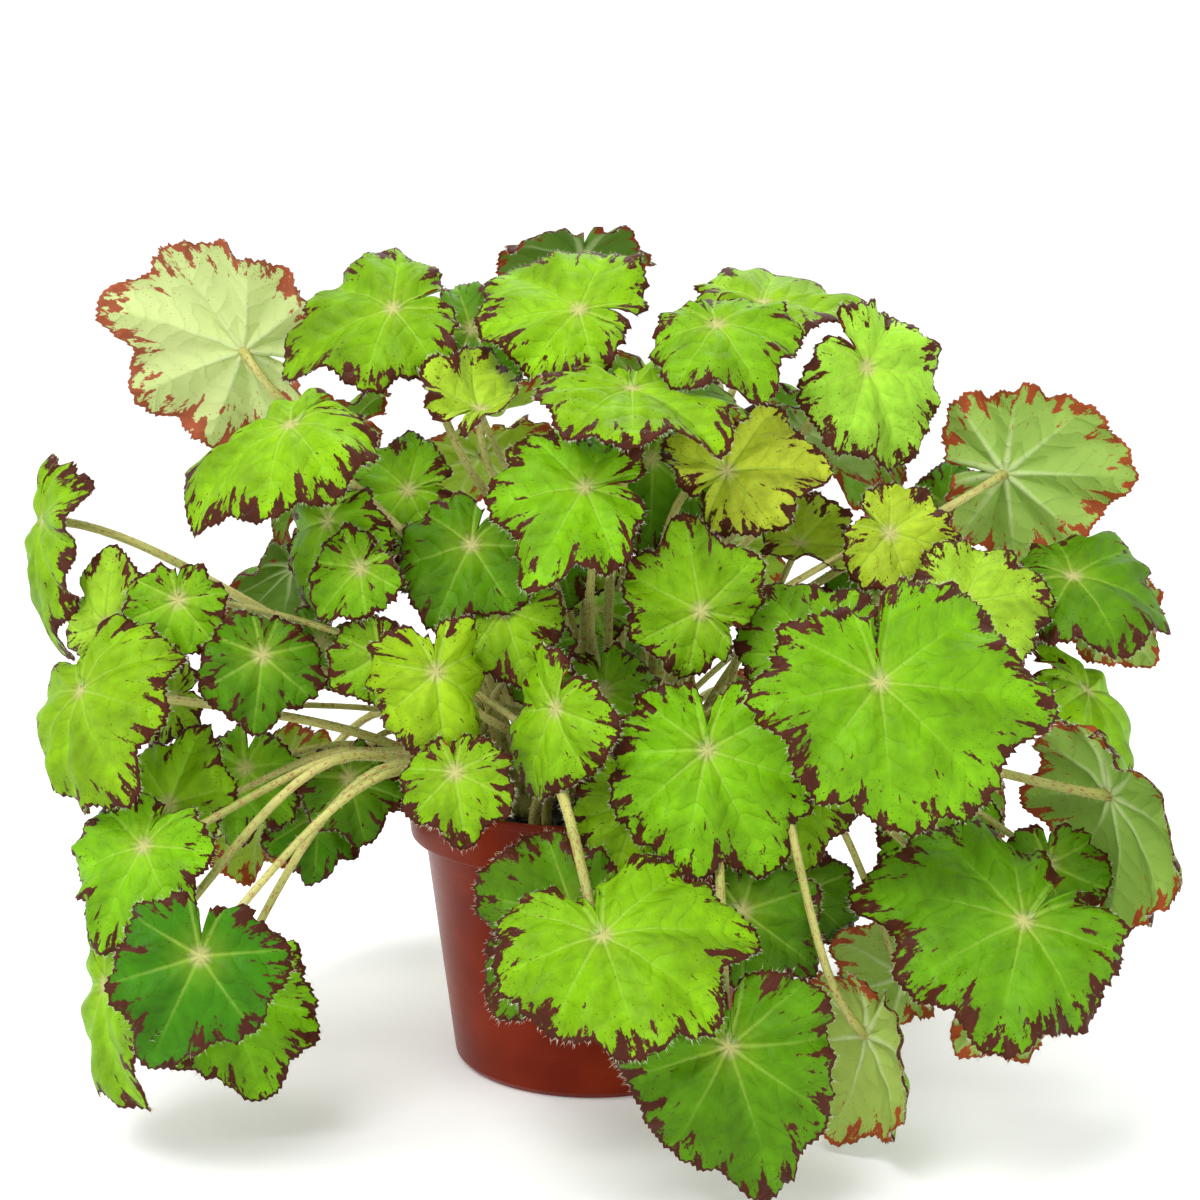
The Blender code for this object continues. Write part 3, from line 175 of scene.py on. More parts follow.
# Leaves seen from the front. Each row: name, hub across, hub down, depth behind the pot axis,
# blade length, facing azimuth and elevation, clock angle of the tip, droop, fold, skew, tone
# The deep tone marks leaves inside the plant, painted a darker green as painted shade
FRONT_LEAVES = (
    ("crown_01", 244, 350, 30, 54, 168, 22, 290, 18, 10, 0, "pale"),
    ("crown_02", 290, 424, -45, 47, -28, 58, 240, 44, 52, -11, "mid"),
    ("crown_03", 393, 308, 0, 43, -5, 44, 250, 34, 30, 10, "mid"),
    ("crown_04", 471, 329, 38, 33, 10, 32, 95, 36, 25, 0, "deep"),
    ("crown_05", 580, 311, -5, 44, -8, 44, 306, 25, 20, -30, "mid"),
    ("crown_06", 612, 352, 30, 22, 15, 20, 100, 29, 18, 0, "mid"),
    ("crown_07", 480, 408, -22, 35, 15, 66, 57, 20, -82, 0, "young"),
    ("crown_08", 632, 388, -40, 46, 4, 74, 118, 30, 20, 30, "mid"),
    ("crown_09", 722, 330, -14, 42, 0, 45, 144, 45, 32, 0, "mid"),
    ("crown_10", 763, 301, 16, 44, 0, 72, 78, 28, 12, 0, "mid"),
    ("crown_11", 867, 367, -10, 40, 28, 15, 154, 22, 18, -20, "mid"),
    ("crown_12", 908, 352, 52, 26, 40, 30, 110, 29, 18, 0, "deep"),
    ("crown_13", 806, 330, 60, 26, 0, 25, 330, 22, 11, 0, "deep"),
    ("crown_15", 806, 428, 25, 40, 178, 62, 112, 16, 10, 0, "pale"),
    ("crown_16", 727, 471, -35, 35, 0, 28, 85, 16, 12, -40, "young"),
    ("crown_17", 890, 533, -30, 29, 12, 25, 104, 22, 18, 20, "young"),
    ("crown_18", 800, 543, -10, 28, 0, 58, 90, 22, -46, 0, "young"),
    ("right_01", 1005, 473, 10, 45, 165, 12, 92, 18, 10, 0, "pale"),
    ("right_02", 950, 505, 22, 21, -20, 20, 5, 22, 18, 0, "deep"),
    ("right_03", 966, 602, -40, 34, 0, 34, 80, 22, 12, 0, "young"),
    ("right_04", 1075, 575, -20, 42, -4, 60, 98, 50, 22, 0, "deep"),
    ("right_05", 1108, 606, -8, 27, 178, 18, 135, 22, 11, 0, "pale"),
    ("right_06", 880, 682, -100, 56, 4, 26, 96, 16, 9, 79, "mid"),
    ("right_07", 815, 662, -72, 36, -6, 24, 322, 19, 12, -30, "mid"),
    ("right_08", 1088, 690, -22, 46, 55, 42, 126, 55, 45, 0, "mid"),
    ("right_09", 1058, 862, -78, 31, 8, 15, 165, 22, 18, 10, "deep"),
    ("right_11", 1112, 795, -72, 52, 112, 16, 164, 30, 20, 0, "pale"),
    ("right_12", 1024, 921, -105, 53, 5, 47, 286, 22, 16, -60, "mid"),
    ("right_13", 1008, 1000, -84, 30, 172, 5, 222, 36, 15, 0, "pale"),
    ("right_14", 905, 975, -62, 29, 165, 10, 302, 22, 12, 0, "pale"),
    ("right_15", 930, 836, -52, 31, 0, 30, 130, 22, 15, 0, "mid"),
    ("right_17", 880, 600, 8, 31, 12, 10, 200, 22, 12, 0, "deep"),
    ("front_01", 707, 750, -86, 46, -5, 20, 153, 22, 14, 27, "mid"),
    ("front_03", 780, 780, -60, 36, 12, 14, 165, 22, 18, 0, "mid"),
    ("front_04", 602, 935, -132, 50, 0, 56, 84, 26, 16, 86, "mid"),
    ("front_05", 574, 915, -95, 40, -5, 22, 222, 26, 18, 20, "deep"),
    ("front_06", 731, 1047, -128, 46, 0, 14, 162, 24, 20, 18, "mid"),
    ("front_08", 868, 1035, -92, 40, 125, 4, 186, 20, 34, 0, "pale"),
    ("front_09", 738, 915, -90, 32, 0, 20, 126, 22, 15, 0, "deep"),
    ("front_10", 800, 893, -74, 27, 15, 15, 128, 22, 15, 0, "deep"),
    ("front_11", 640, 800, -76, 31, -8, 20, 200, 19, 12, 0, "mid"),
    ("heart_01", 701, 611, -60, 32, 0, 10, 350, 17, 13, -50, "mid"),
    ("heart_02", 585, 487, -55, 39, -6, 42, 211, 24, 20, 70, "mid"),
    ("heart_03", 468, 545, -30, 35, -10, 34, 205, 25, 20, 0, "deep"),
    ("heart_04", 503, 610, -45, 27, 0, 30, 160, 22, 15, 0, "mid"),
    ("heart_05", 596, 598, -8, 29, 0, 60, 70, 22, 18, 0, "mid"),
    ("heart_06", 592, 568, -4, 17, 0, 30, 250, 16, -13, 0, "young"),
    ("heart_07", 436, 672, -72, 34, 20, 12, 173, 24, 98, 0, "young"),
    ("heart_08", 455, 772, -84, 25, -5, 30, 170, 21, 15, 0, "mid"),
    ("heart_09", 496, 728, -34, 24, 10, 12, 20, 22, 15, 0, "mid"),
    ("heart_10", 555, 712, -72, 35, -48, 12, 205, 28, 44, 0, "mid"),
    ("heart_11", 604, 690, -34, 30, 15, 22, 168, 20, 14, 0, "mid"),
    ("heart_12", 650, 460, 10, 33, 20, 15, 180, 22, 12, 0, "deep"),
    ("heart_13", 560, 535, -8, 28, -10, 20, 170, 22, 12, 0, "deep"),
    ("heart_15", 540, 650, -24, 25, -5, 15, 190, 22, 12, 0, "deep"),
    ("left_01", 408, 490, -10, 32, -5, 38, 262, 21, 15, 0, "mid"),
    ("left_02", 406, 522, 0, 20, -10, 16, 235, 19, -16, 0, "young"),
    ("left_03", 332, 550, -24, 18, -12, 16, 240, 19, -16, 0, "young"),
    ("left_04", 326, 520, -40, 35, -40, 16, 205, 32, 52, 0, "mid"),
    ("left_05", 360, 568, -50, 22, -14, 20, 225, 21, 15, 0, "mid"),
    ("left_06", 380, 655, -54, 21, -5, 12, 240, 21, 15, 0, "mid"),
    ("left_07", 322, 642, -18, 22, -5, 14, 215, 21, 15, 0, "deep"),
    ("left_08", 42, 520, -15, 47, -66, 10, 188, 25, 22, 10, "mid"),
    ("left_09", 80, 690, -60, 47, -48, 30, 155, 42, 40, 10, "mid"),
    ("left_10", 110, 630, -44, 27, -10, 12, 3, 18, 50, 0, "young"),
    ("left_11", 178, 600, -46, 24, -4, 14, 200, 16, 12, -20, "mid"),
    ("left_12", 244, 640, -2, 24, 75, 10, 5, 21, 18, 0, "pale"),
    ("left_13", 262, 655, -52, 28, 15, 10, 185, 21, 18, 0, "deep"),
    ("left_14", 172, 700, -32, 22, -20, 30, 250, 21, 15, 0, "young"),
    ("left_15", 169, 804, -50, 28, -5, 20, 20, 21, 12, 0, "mid"),
    ("left_16", 146, 842, -76, 37, -20, 34, 208, 36, 24, 0, "mid"),
    ("left_17", 200, 956, -112, 36, 4, 14, 205, 20, 18, -20, "deep"),
    ("left_18", 226, 990, -80, 38, 5, 15, 160, 24, 20, 0, "mid"),
    ("left_19", 104, 985, -90, 43, -58, 12, 172, 28, 44, 0, "mid"),
    ("left_20", 245, 768, -18, 29, -10, 20, 190, 22, 15, 0, "mid"),
    ("left_21", 318, 812, -10, 27, 18, 8, 182, 22, 18, 0, "deep"),
    ("left_22", 350, 775, -24, 26, 5, 14, 165, 22, 15, 0, "deep"),
)

# Leaves on the far side stand in tiers: count, height, reach, facing elevation, blade length
BACK_TIERS = (
    (5, 82.0, 142.0, 22.0, 46.0),
    (3, 122.0, 88.0, 20.0, 38.0),
    (4, 150.0, 150.0, 34.0, 45.0),
    (4, 215.0, 112.0, 48.0, 42.0),
    (1, 268.0, 66.0, 62.0, 38.0),
)
BACK_SPREAD = (14.0, 166.0)
BACK_JITTER = (5.0, 14.0, 10.0, 8.0, 6.0)
BACK_TWIST = 50.0
BACK_BENDS = (18.0, 8.0)
BACK_SKEW = 60.0
BACK_TONES = ("mid", "deep", "mid", "mid", "young")

# Numbers of the finishes on a leaf piece
BLADE_FINISH, STALK_FINISH, HAIR_FINISH, STEM_FINISH = range(4)
# How far below the hub a stalk ends, and its swelling there: size against the stalk, share of its length
STALK_SEAT = 0.25
HUB_SWELL = 0.35
HUB_SWELL_SHARE = 0.03
# Greens of leaves that differ from their tone, some of them painted light: crown_16 is painted lighter to
# make up for the shade it stands in, and crown_01's pale underside is painted near white as the glow of light
# shining through it
LEAF_GREENS_AND_PAINTED_LIGHT = {
    # Painted light: lighter than a young leaf, to make up for the shade it stands in
    "crown_16": "#C0D83A",
    # Pale underside, painted near white as painted light shining through it
    "crown_01": "#F2FCB8",
    "crown_11": "#9CD43C",
    "front_06": "#5A9408",
    "left_17": "#3E8408",
    "heart_03": "#568C08",
    "right_12": "#76AC12",
    "heart_07": "#A0CC18",
    "right_11": "#A2C254",
}
RHIZOME_GREEN = "#8A9A40"
# Blade length at which teeth and ripple have the size that the settings give
USUAL_LENGTH = 45.0
# Ripples around the margin, and wave lengths of the blisters over 2 pi
RIPPLES = (11, 19)
BLISTER_WAVES = (3.9, 3.3, 2.6)
# Blade lengths with the fewest and the most brown marks
MARKED_LENGTHS = (25.0, 52.0)
# Wave lengths of the soil's relief over 2 pi, each used twice
WAVES = (6.0, 6.0, 3.7, 3.7, 2.3, 2.3, 1.4, 1.4, 0.9, 0.9)


# Vector helpers
def unit(vector):
    vector = np.asarray(vector, float)
    return vector / np.linalg.norm(vector)


def sight_axes():
    """Right, up and forward directions of the front view."""
    right = np.array((1.0, 0.0, 0.0))
    forward = np.array((0.0, math.cos(VIEW_PITCH), -math.sin(VIEW_PITCH)))
    return right, np.cross(right, forward), forward


def seen_point(across, down, depth):
    """The point at the given depth behind the pot axis that is seen at (across, down)."""
    right, up, forward = sight_axes()
    ray = forward + right * (across - VIEW_HALF) / VIEW_SCALE + up * (VIEW_HALF - down) / VIEW_SCALE
    eye = np.array((VIEW_SIDE, -VIEW_DISTANCE, VIEW_HEIGHT))
    return eye + ray * (depth - eye[1]) / ray[1]


def facing(azimuth, elevation):
    """Unit vector: azimuth 0 looks to the front, 90 to the right; elevation above level."""
    turn = math.radians(azimuth)
    rise = math.radians(elevation)
    return np.array((math.cos(rise) * math.sin(turn), -math.cos(rise) * math.cos(turn), math.sin(rise)))


def tip_direction(normal, clock):
    """Direction in the blade's plane that is seen at the given clock angle from the front."""
    right, up, forward = sight_axes()
    turn = math.radians(clock)
    seen = right * math.sin(turn) + up * math.cos(turn)
    slope = float(np.dot(forward, normal))
    slope = math.copysign(max(abs(slope), EDGE_ON), slope)
    along = seen - forward * np.dot(seen, normal) / slope
    return unit(along - normal * np.dot(along, normal))


# Leaf outline and surface
class Leaf:
    """One leaf: place and axes of its blade, its outline, and the course of its stalk."""

    def __init__(self, name, hub, normal, tip, length, bends, tone):
        self.name = name
        self.hub = np.asarray(hub, float)
        self.normal = unit(normal)
        self.tip = unit(tip)
        self.side = np.cross(self.tip, self.normal)
        self.length = length
        self.droop, self.fold, self.skew = (math.radians(b) for b in bends)
        self.tone = tone
        self.stalk = STALK_BASE + STALK_PER_LENGTH * length
        draw = random.Random(name)
        self.phases = [draw.uniform(0, 2 * math.pi) for _ in range(4)]
        self.cup = draw.uniform(-CUP, CUP)
        self.slit = SLIT * draw.uniform(*SLIT_RANGE)
        self.span = (math.pi + self.skew, math.pi - self.skew)
        self.set_veins()
        self.root = None
        self.foot_low = FOOT_BOTTOM
        self.foot_high = FOOT_TOP
        self.swing = (0.0, 0.0, 0.0)

    def set_veins(self):
        """Vein angles from the tip on both sides, and knots at veins and between them."""
        step = VEIN_STEP if self.length > LARGE_LENGTH else SMALL_VEIN_STEP
        right, left = (
            [s * (i + 1) / (n + 0.35) for i in range(n)]
            for s, n in ((s, max(2, round(math.degrees(s) / step))) for s in self.span)
        )
        self.veins = np.array([-a for a in reversed(left)] + [0.0] + right)
        valleys = 0.5 * (self.veins[1:] + self.veins[:-1])
        ends = (-self.span[1] + self.slit, self.span[0] - self.slit)
        self.ends = ends
        knots = [(a, 0.0) for a in self.veins] + [(a, 1.0) for a in valleys]
        knots += [(ends[0], 0.7), (ends[1], 0.7)]
        knots.sort()
        self.knots = np.array([k[0] for k in knots])
        self.between = np.array([k[1] for k in knots])

    def reach(self, angle):
        """Outline radius as a fraction of the length, lobed at the veins, drawn out at the tip."""
        share = np.where(angle > 0, angle / self.span[0], -angle / self.span[1])
        base = np.interp(share, OUTLINE_STOPS, OUTLINE_REACH)
        gap = np.interp(angle, self.knots, self.between)
        uneven = 1 + UNEVEN[0] * np.sin(3 * angle + self.phases[0])
        uneven += UNEVEN[1] * np.sin(7 * angle + self.phases[1])
        spike = TIP_SPIKE * np.exp(-((angle / TIP_WIDTH) ** 2))
        depth = LOBE_DEPTH if self.length > LARGE_LENGTH else SMALL_LOBE_DEPTH
        return base * uneven * (1 - depth * (1 - np.cos(0.5 * math.pi * gap))) + spike

    def surface(self, share, angle, grow=0.0):
        """Points of the upper face, at a share of the outline radius and an angle from the tip."""
        share = np.asarray(share, float)
        angle = np.asarray(angle, float)
        out = share * (self.reach(angle) * self.length + grow)
        gap = np.interp(angle, self.knots, self.between)
        height = FUNNEL * (1 - np.exp(-((out / self.length / FUNNEL_WIDTH) ** 2)))
        height += PLEAT * share * (0.5 - 0.5 * np.cos(math.pi * gap))
        height += WAVE * share**2 * np.sin(3 * angle + self.phases[2])
        height += FINE_WAVE * share**3 * np.sin(5 * angle + self.phases[3])
        height += self.cup * share**2 - RIM_CURL * share**8
        x = out * np.sin(angle)
        y = out * np.cos(angle)
        z = height * self.length
        x, z = bend(x, z, self.fold / (FOLD_REACH * self.length))
        y, z = bend(y, z, self.droop / self.length)
        axes = np.stack((self.side, self.tip, self.normal))
        return self.hub + np.stack((x, y, z), -1) @ axes

    def sinus(self):
        """Direction from the hub into the notch of the blade."""
        angle = self.span[0]
        return self.side * math.sin(angle) + self.tip * math.cos(angle)

    def stalk_end(self):
        """Direction in which the stalk meets the blade from below."""
        course = self.hub - np.array((self.root[0], self.root[1], self.foot_high))
        aim = (ARRIVE_COURSE + self.swing[2]) * unit(course)
        aim = unit(aim + ARRIVE_NORMAL * self.normal - ARRIVE_SINUS * self.sinus())
        lack = ARRIVE_SLOPE - float(np.dot(aim, self.normal))
        return unit(aim + self.normal * max(0.0, lack) * SLOPE_MEND)

    def waypoint(self):
        """A point on the way and the direction there: over the lip for low leaves."""
        start = np.array((self.root[0], self.root[1], self.foot_high))
        course = self.hub - start
        flat = course * (1, 1, 0)
        far = math.hypot(self.hub[0], self.hub[1])
        low = max(0.0, min(1.0, (LOW_HUB - self.hub[2]) / LOW_BLEND)) * min(1.0, far / FAR_BLEND)
        share = MIDDLE_SHARE * (1 + self.swing[2])
        rise = MIDDLE_RISE * course[2]
        if low > 0 and far > LIP_RADIUS:
            inside = math.hypot(*self.root)
            out_share = (LIP_RADIUS - inside) / (far - inside) + BEYOND_LIP
            share += (max(OVER_LIP[0], min(OVER_LIP[1], out_share)) - share) * low
            over = POT_HEIGHT + LIP_CLEARANCE + LIP_ARCH * far - self.foot_high
            rise += (max(over, MIDDLE_RISE * course[2]) - rise) * low
        point = start + flat * share
        point[2] = start[2] + rise
        across = unit(np.cross(flat, (0, 0, 1)) + 1e-9)
        point = point + across * self.swing[0] + np.array((0, 0, self.swing[1]))
        level = MIDDLE_LEVEL[0] + MIDDLE_LEVEL[1] * low
        ahead = level * unit(flat + 1e-9) + MIDDLE_COURSE * unit(course)
        return point, unit(ahead + np.array((0, 0, MIDDLE_LIFT)))

    def course(self, count):
        """Centre line of the stalk from foot to hub, with count steps above the soil."""
        low = np.array((self.root[0], self.root[1], self.foot_low))
        start = np.array((self.root[0], self.root[1], self.foot_high))
        middle, ahead = self.waypoint()
        end = self.hub - self.normal * BLADE
        half = max(1, count // 2)
        leave = unit(np.array((0, 0, 1.0)) + START_LEAN * unit((end - start) * (1, 1, 0)))
        first = hermite(start, leave, middle, ahead, half)
        second = hermite(middle, ahead, end, self.stalk_end(), count - half)
        return np.vstack((low[None], first, second[1:]))


def bend(flat, height, rate):
    """Wrap a flat coordinate and a height around a cylinder, downwards for a positive rate."""
    if abs(rate) < 1e-6:
        return flat, height
    radius = 1.0 / rate
    return (radius + height) * np.sin(flat * rate), (radius + height) * np.cos(flat * rate) - radius


def hermite(start, leave, end, arrive, steps):
    """Smooth curve between two points with given directions."""
    reach = BOW * np.linalg.norm(end - start)
    t = np.linspace(0, 1, steps + 1)[:, None]
    from_start = (1 + 2 * t) * (1 - t) ** 2 * start + t * (1 - t) ** 2 * leave * reach
    return from_start + t * t * (3 - 2 * t) * end + t * t * (t - 1) * arrive * reach


def stalk_rings(path, sides, radius, foot_radius):
    """Rings of points around the stalk that turn as little as possible, foot first."""
    count = len(path)
    rings = []
    forward = unit(path[1] - path[0])
    across = np.array((1.0, 0.0, 0.0))
    turns = 2 * math.pi * np.arange(sides) / sides
    for i in range(count):
        ahead = unit(path[min(i + 1, count - 1)] - path[max(i - 1, 0)]) if i > 1 else forward
        across = unit(across - ahead * np.dot(across, ahead))
        beside = np.cross(ahead, across)
        size = foot_radius if i < 2 else radius * (STALK_LOWER - STALK_TAPER * i / count)
        rings.append(path[i] + size * (np.outer(np.cos(turns), across) + np.outer(np.sin(turns), beside)))
    return rings


# Stalks of the solids: sides and steps
def stalk_counts(length):
    if length > LARGE_LENGTH:
        return 4, 6
    if length > SHOOT_LENGTH:
        return 4, 5
    return 3, 4


# Leaf places
def front_leaf(row, step):
    """A leaf of the front table, moved a little more and made a little smaller with each step."""
    name, across, down, depth, length, azimuth, elevation, clock, droop, fold, skew, tone = row
    draw = random.Random(f"{name} {step}")
    reach = 0.0 if step == 0 else FRONT_TRY[0] + FRONT_TRY[1] * step
    deeper, aside, turned = (reach * loose for loose in FRONT_LOOSE)
    length *= 1 - SHRINK * step
    depth += draw.uniform(-deeper, deeper)
    across += draw.uniform(-aside, aside)
    down += draw.uniform(-aside, aside)
    azimuth += draw.uniform(-turned, turned)
    elevation += draw.uniform(-turned, turned)
    normal = facing(azimuth, elevation)
    return Leaf(name, seen_point(across, down, depth), normal, tip_direction(normal, clock), length,
                (droop, fold, skew), tone)


def back_rows():
    """Rows for the far side: name, turn around the axis, height, reach, elevation, length, tone."""
    rows = []
    draw = random.Random("far side")
    for count, height, reach, elevation, length in BACK_TIERS:
        offset = draw.uniform(-0.3, 0.3)
        for i in range(count):
            turn = BACK_SPREAD[0] + (BACK_SPREAD[1] - BACK_SPREAD[0]) * (i + 0.5 + offset) / count
            middle = (turn, height, reach, elevation, length)
            rows.append((
                f"back_{len(rows) + 1:02d}",
                *(value + draw.uniform(-most, most) for value, most in zip(middle, BACK_JITTER)),
                BACK_TONES[len(rows) % len(BACK_TONES)],
            ))
    return rows


def back_leaf(row, step):
    """A leaf of the far side, moved a little more with each step."""
    name, turn, height, reach, elevation, length, tone = row
    draw = random.Random(f"{name} {step}")
    loose = 0.0 if step == 0 else BACK_TRY[0] + BACK_TRY[1] * step
    turn += draw.uniform(-1, 1) * loose * BACK_LOOSE[0]
    height += draw.uniform(-1, 1) * loose
    reach += draw.uniform(-1, 1) * loose
    elevation += draw.uniform(-1, 1) * loose * BACK_LOOSE[1]
    heading = math.radians(turn)
    outward = np.array((math.cos(heading), math.sin(heading), 0.0))
    rise = math.radians(elevation)
    normal = outward * math.cos(rise) + np.array((0, 0, math.sin(rise)))
    twist = math.radians(draw.uniform(-BACK_TWIST, BACK_TWIST))
    downhill = outward * math.sin(rise) - np.array((0, 0, math.cos(rise)))
    tip = downhill * math.cos(twist) + np.cross(normal, downhill) * math.sin(twist)
    hub = outward * reach + np.array((0, 0, height))
    return Leaf(name, hub, normal, tip, length, (*BACK_BENDS, draw.uniform(-BACK_SKEW, BACK_SKEW)), tone)


def rhizome_line(name, count):
    """Points along a rhizome's centre line."""
    corners = np.array(RHIZOME_LINES[name], float)
    stops = np.linspace(0, 1, len(corners))
    at = np.linspace(0, 1, count)
    x = np.interp(at, stops, corners[:, 0])
    y = np.interp(at, stops, corners[:, 1])
    return np.stack((x, y, np.full(count, RHIZOME_LEVEL)), -1)


def root_sites():
    """Free places for feet on the soil: a triangular grid that leaves the rhizomes clear."""
    lines = np.vstack([rhizome_line(n, 30) for n in RHIZOME_LINES])[:, :2]
    sites = []
    rows = int(ROOT_LIMIT / (ROOT_SPACING * ROW_RATIO)) + 1
    for j in range(-rows, rows + 1):
        for i in range(-10, 11):
            x = (i + 0.5 * (j % 2)) * ROOT_SPACING
            y = j * ROOT_SPACING * ROW_RATIO
            clear = np.min(np.hypot(lines[:, 0] - x, lines[:, 1] - y)) > RHIZOME_CLEAR
            if math.hypot(x, y) < ROOT_LIMIT and clear:
                sites.append((x, y))
    return sites


def shoot_sites():
    """Places along the rhizomes where small leaves spring."""
    sites = []
    for name in RHIZOME_LINES:
        line = rhizome_line(name, 60)
        length = float(np.sum(np.linalg.norm(np.diff(line, axis=0), axis=1)))
        count = int((length - SHOOT_MARGIN) / SHOOT_SPACING)
        for i in range(count):
            x, y, _ = line[int(round((i + 0.7) / (count + 0.4) * 59))]
            sites.append((float(x), float(y), name))
    return sites


def take_way(leaf, spot, way):
    """Set the foot of a leaf and the swing of its stalk, wider with each way that is tried."""
    draw = random.Random(f"{leaf.name} way {way}")
    swing = SWING_GROWTH * way
    lean = LEAN_GROWTH * way
    leaf.swing = (draw.uniform(-1, 1) * swing, draw.uniform(-0.5, 1) * swing, draw.uniform(-lean, lean))
    leaf.root = spot[:2]
    leaf.own_rhizome = spot[2] if len(spot) == 3 else None
    leaf.foot_low = SHOOT_FOOT if leaf.own_rhizome else FOOT_BOTTOM
    leaf.foot_high = leaf.foot_low + SHOOT_RISE if leaf.own_rhizome else FOOT_TOP


# Reading each leaf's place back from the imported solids
MATCH = 0.02


def node_search(names):
    """A search tree over the points of some nodes, in millimetres."""
    clouds = []
    for name in names:
        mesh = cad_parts[name].data
        flat = np.empty(len(mesh.vertices) * 3, np.float32)
        mesh.vertices.foreach_get("co", flat)
        clouds.append(flat.reshape(-1, 3) / MM)
    points = np.vstack(clouds)
    tree = KDTree(len(points))
    for i, point in enumerate(points):
        tree.insert(point, i)
    tree.balance()
    return tree


def is_corner(tree, point):
    """Whether the solid has a corner at a point."""
    return tree.find(point)[2] < MATCH


def foot_corner(leaf):
    """The first corner of the ring where the stalk leaves the soil."""
    x, y = leaf.root
    return x + leaf.stalk * STALK_FOOT_SWELL, y, leaf.foot_high


def same_way(leaf, tree):
    """Whether the stalk takes the way that the solid shows."""
    sides, steps = stalk_counts(leaf.length)
    path = leaf.course(steps)[:-1]
    rings = stalk_rings(path, sides, leaf.stalk, leaf.stalk * STALK_FOOT_SWELL)
    return is_corner(tree, rings[-1][0]) and is_corner(tree, rings[2][0])


def read_leaf(maker, row, tree, spots):
    """The leaf of a row as it stands in the solid, or None where the solid has no such leaf."""
    for step in range(STEPS):
        leaf = maker(row, step)
        if is_corner(tree, leaf.hub):
            break
    else:
        return None
    for spot in spots:
        take_way(leaf, spot, 0)
        if not is_corner(tree, foot_corner(leaf)):
            continue
        for way in range(WAYS):
            take_way(leaf, spot, way)
            if same_way(leaf, tree):
                return leaf
    return None


def read_leaves():
    """Leaves by the node that holds them."""
    stems = [f"rhizome_{name}" for name in RHIZOME_LINES]
    stem_tree = node_search(stems)
    soil_places = root_sites()
    shoots = shoot_sites()
    found = {}
    rows = [(front_leaf, row) for row in FRONT_LEAVES] + [(back_leaf, row) for row in back_rows()]
    for maker, row in rows:
        own = f"leaf_{row[0]}"
        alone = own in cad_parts
        tree = node_search([own]) if alone else stem_tree
        leaf = read_leaf(maker, row, tree, soil_places if alone else shoots)
        if leaf:
            found.setdefault(own if alone else f"rhizome_{leaf.own_rhizome}", []).append(leaf)
    return found


# Surfaces
class Surface:
    """Points with their maps and values, and faces of three or four corners with a finish each."""

    def __init__(self):
        self.points = []
        self.maps = []
        self.values = []
        self.faces = []
        self.finishes = []
        self.count = 0

    def add(self, points, faces, finish, maps=None, values=None):
        """Add points in millimetres, the face arrays on them, and per point four map and two other values."""
        points = np.asarray(points, float).reshape(-1, 3)
        size = len(points)
        self.points.append(points)
        maps = np.zeros((size, 4)) if maps is None else np.asarray(maps, float)
        values = np.zeros((size, 2)) if values is None else np.asarray(values, float)
        self.maps.append(maps.reshape(size, 4))
        self.values.append(values.reshape(size, 2))
        for block in faces:
            block = np.asarray(block, np.int64)
            self.faces.append(block + self.count)
            self.finishes.append(np.full(len(block), finish))
        self.count += size

    def build(self, name, finishes, tint=None):
        """Write the mesh, its two maps and its values, and return the new object."""
        mesh = bpy.data.meshes.new(name)
        points = np.vstack(self.points) * MM
        corners = np.concatenate([block.ravel() for block in self.faces])
        sizes = np.concatenate([np.full(len(block), block.shape[1]) for block in self.faces])
        mesh.vertices.add(len(points))
        mesh.vertices.foreach_set("co", points.astype(np.float32).ravel())
        mesh.loops.add(len(corners))
        mesh.loops.foreach_set("vertex_index", corners.astype(np.int32))
        mesh.polygons.add(len(sizes))
        starts = np.concatenate(([0], np.cumsum(sizes)[:-1]))
        mesh.polygons.foreach_set("loop_start", starts.astype(np.int32))
        mesh.polygons.foreach_set("material_index", np.concatenate(self.finishes).astype(np.int32))
        mesh.update(calc_edges=True)
        mesh.validate()
        mesh.shade_smooth()
        maps = np.vstack(self.maps)[corners].astype(np.float32)
        for layer, columns in (("blade", slice(0, 2)), ("margin", slice(2, 4))):
            mesh.uv_layers.new(name=layer).data.foreach_set("uv", maps[:, columns].ravel())
        values = np.vstack(self.values).astype(np.float32)
        for layer, column in (("vein", 0), ("side", 1)):
            mesh.attributes.new(layer, "FLOAT", "POINT").data.foreach_set("value", values[:, column].copy())
        if tint is not None:
            colours = [np.broadcast_to(t, (len(p), 4)) for t, p in zip(tint, self.points)]
            colours = np.vstack(colours).astype(np.float32)
            mesh.attributes.new("tint", "FLOAT_COLOR", "POINT").data.foreach_set("color", colours.ravel())
        for finish in finishes:
            mesh.materials.append(finish)
        thing = bpy.data.objects.new(name, mesh)
        bpy.context.scene.collection.objects.link(thing)
        return thing


def grid_faces(rows, columns, closed=False):
    """Four-cornered faces of a grid of points, row after row, facing rows x columns."""
    ids = np.arange(rows * columns).reshape(rows, columns)
    if closed:
        ids = np.hstack((ids, ids[:, :1]))
    return np.stack((ids[:-1, :-1], ids[:-1, 1:], ids[1:, 1:], ids[1:, :-1]), -1).reshape(-1, 4)


def grid_normals(points):
    """Unit normals of a grid of points, from its two directions."""
    across = np.gradient(points, axis=1)
    along = np.gradient(points, axis=0)
    normals = np.cross(across, along)
    return normals / np.maximum(np.linalg.norm(normals, axis=-1, keepdims=True), 1e-9)


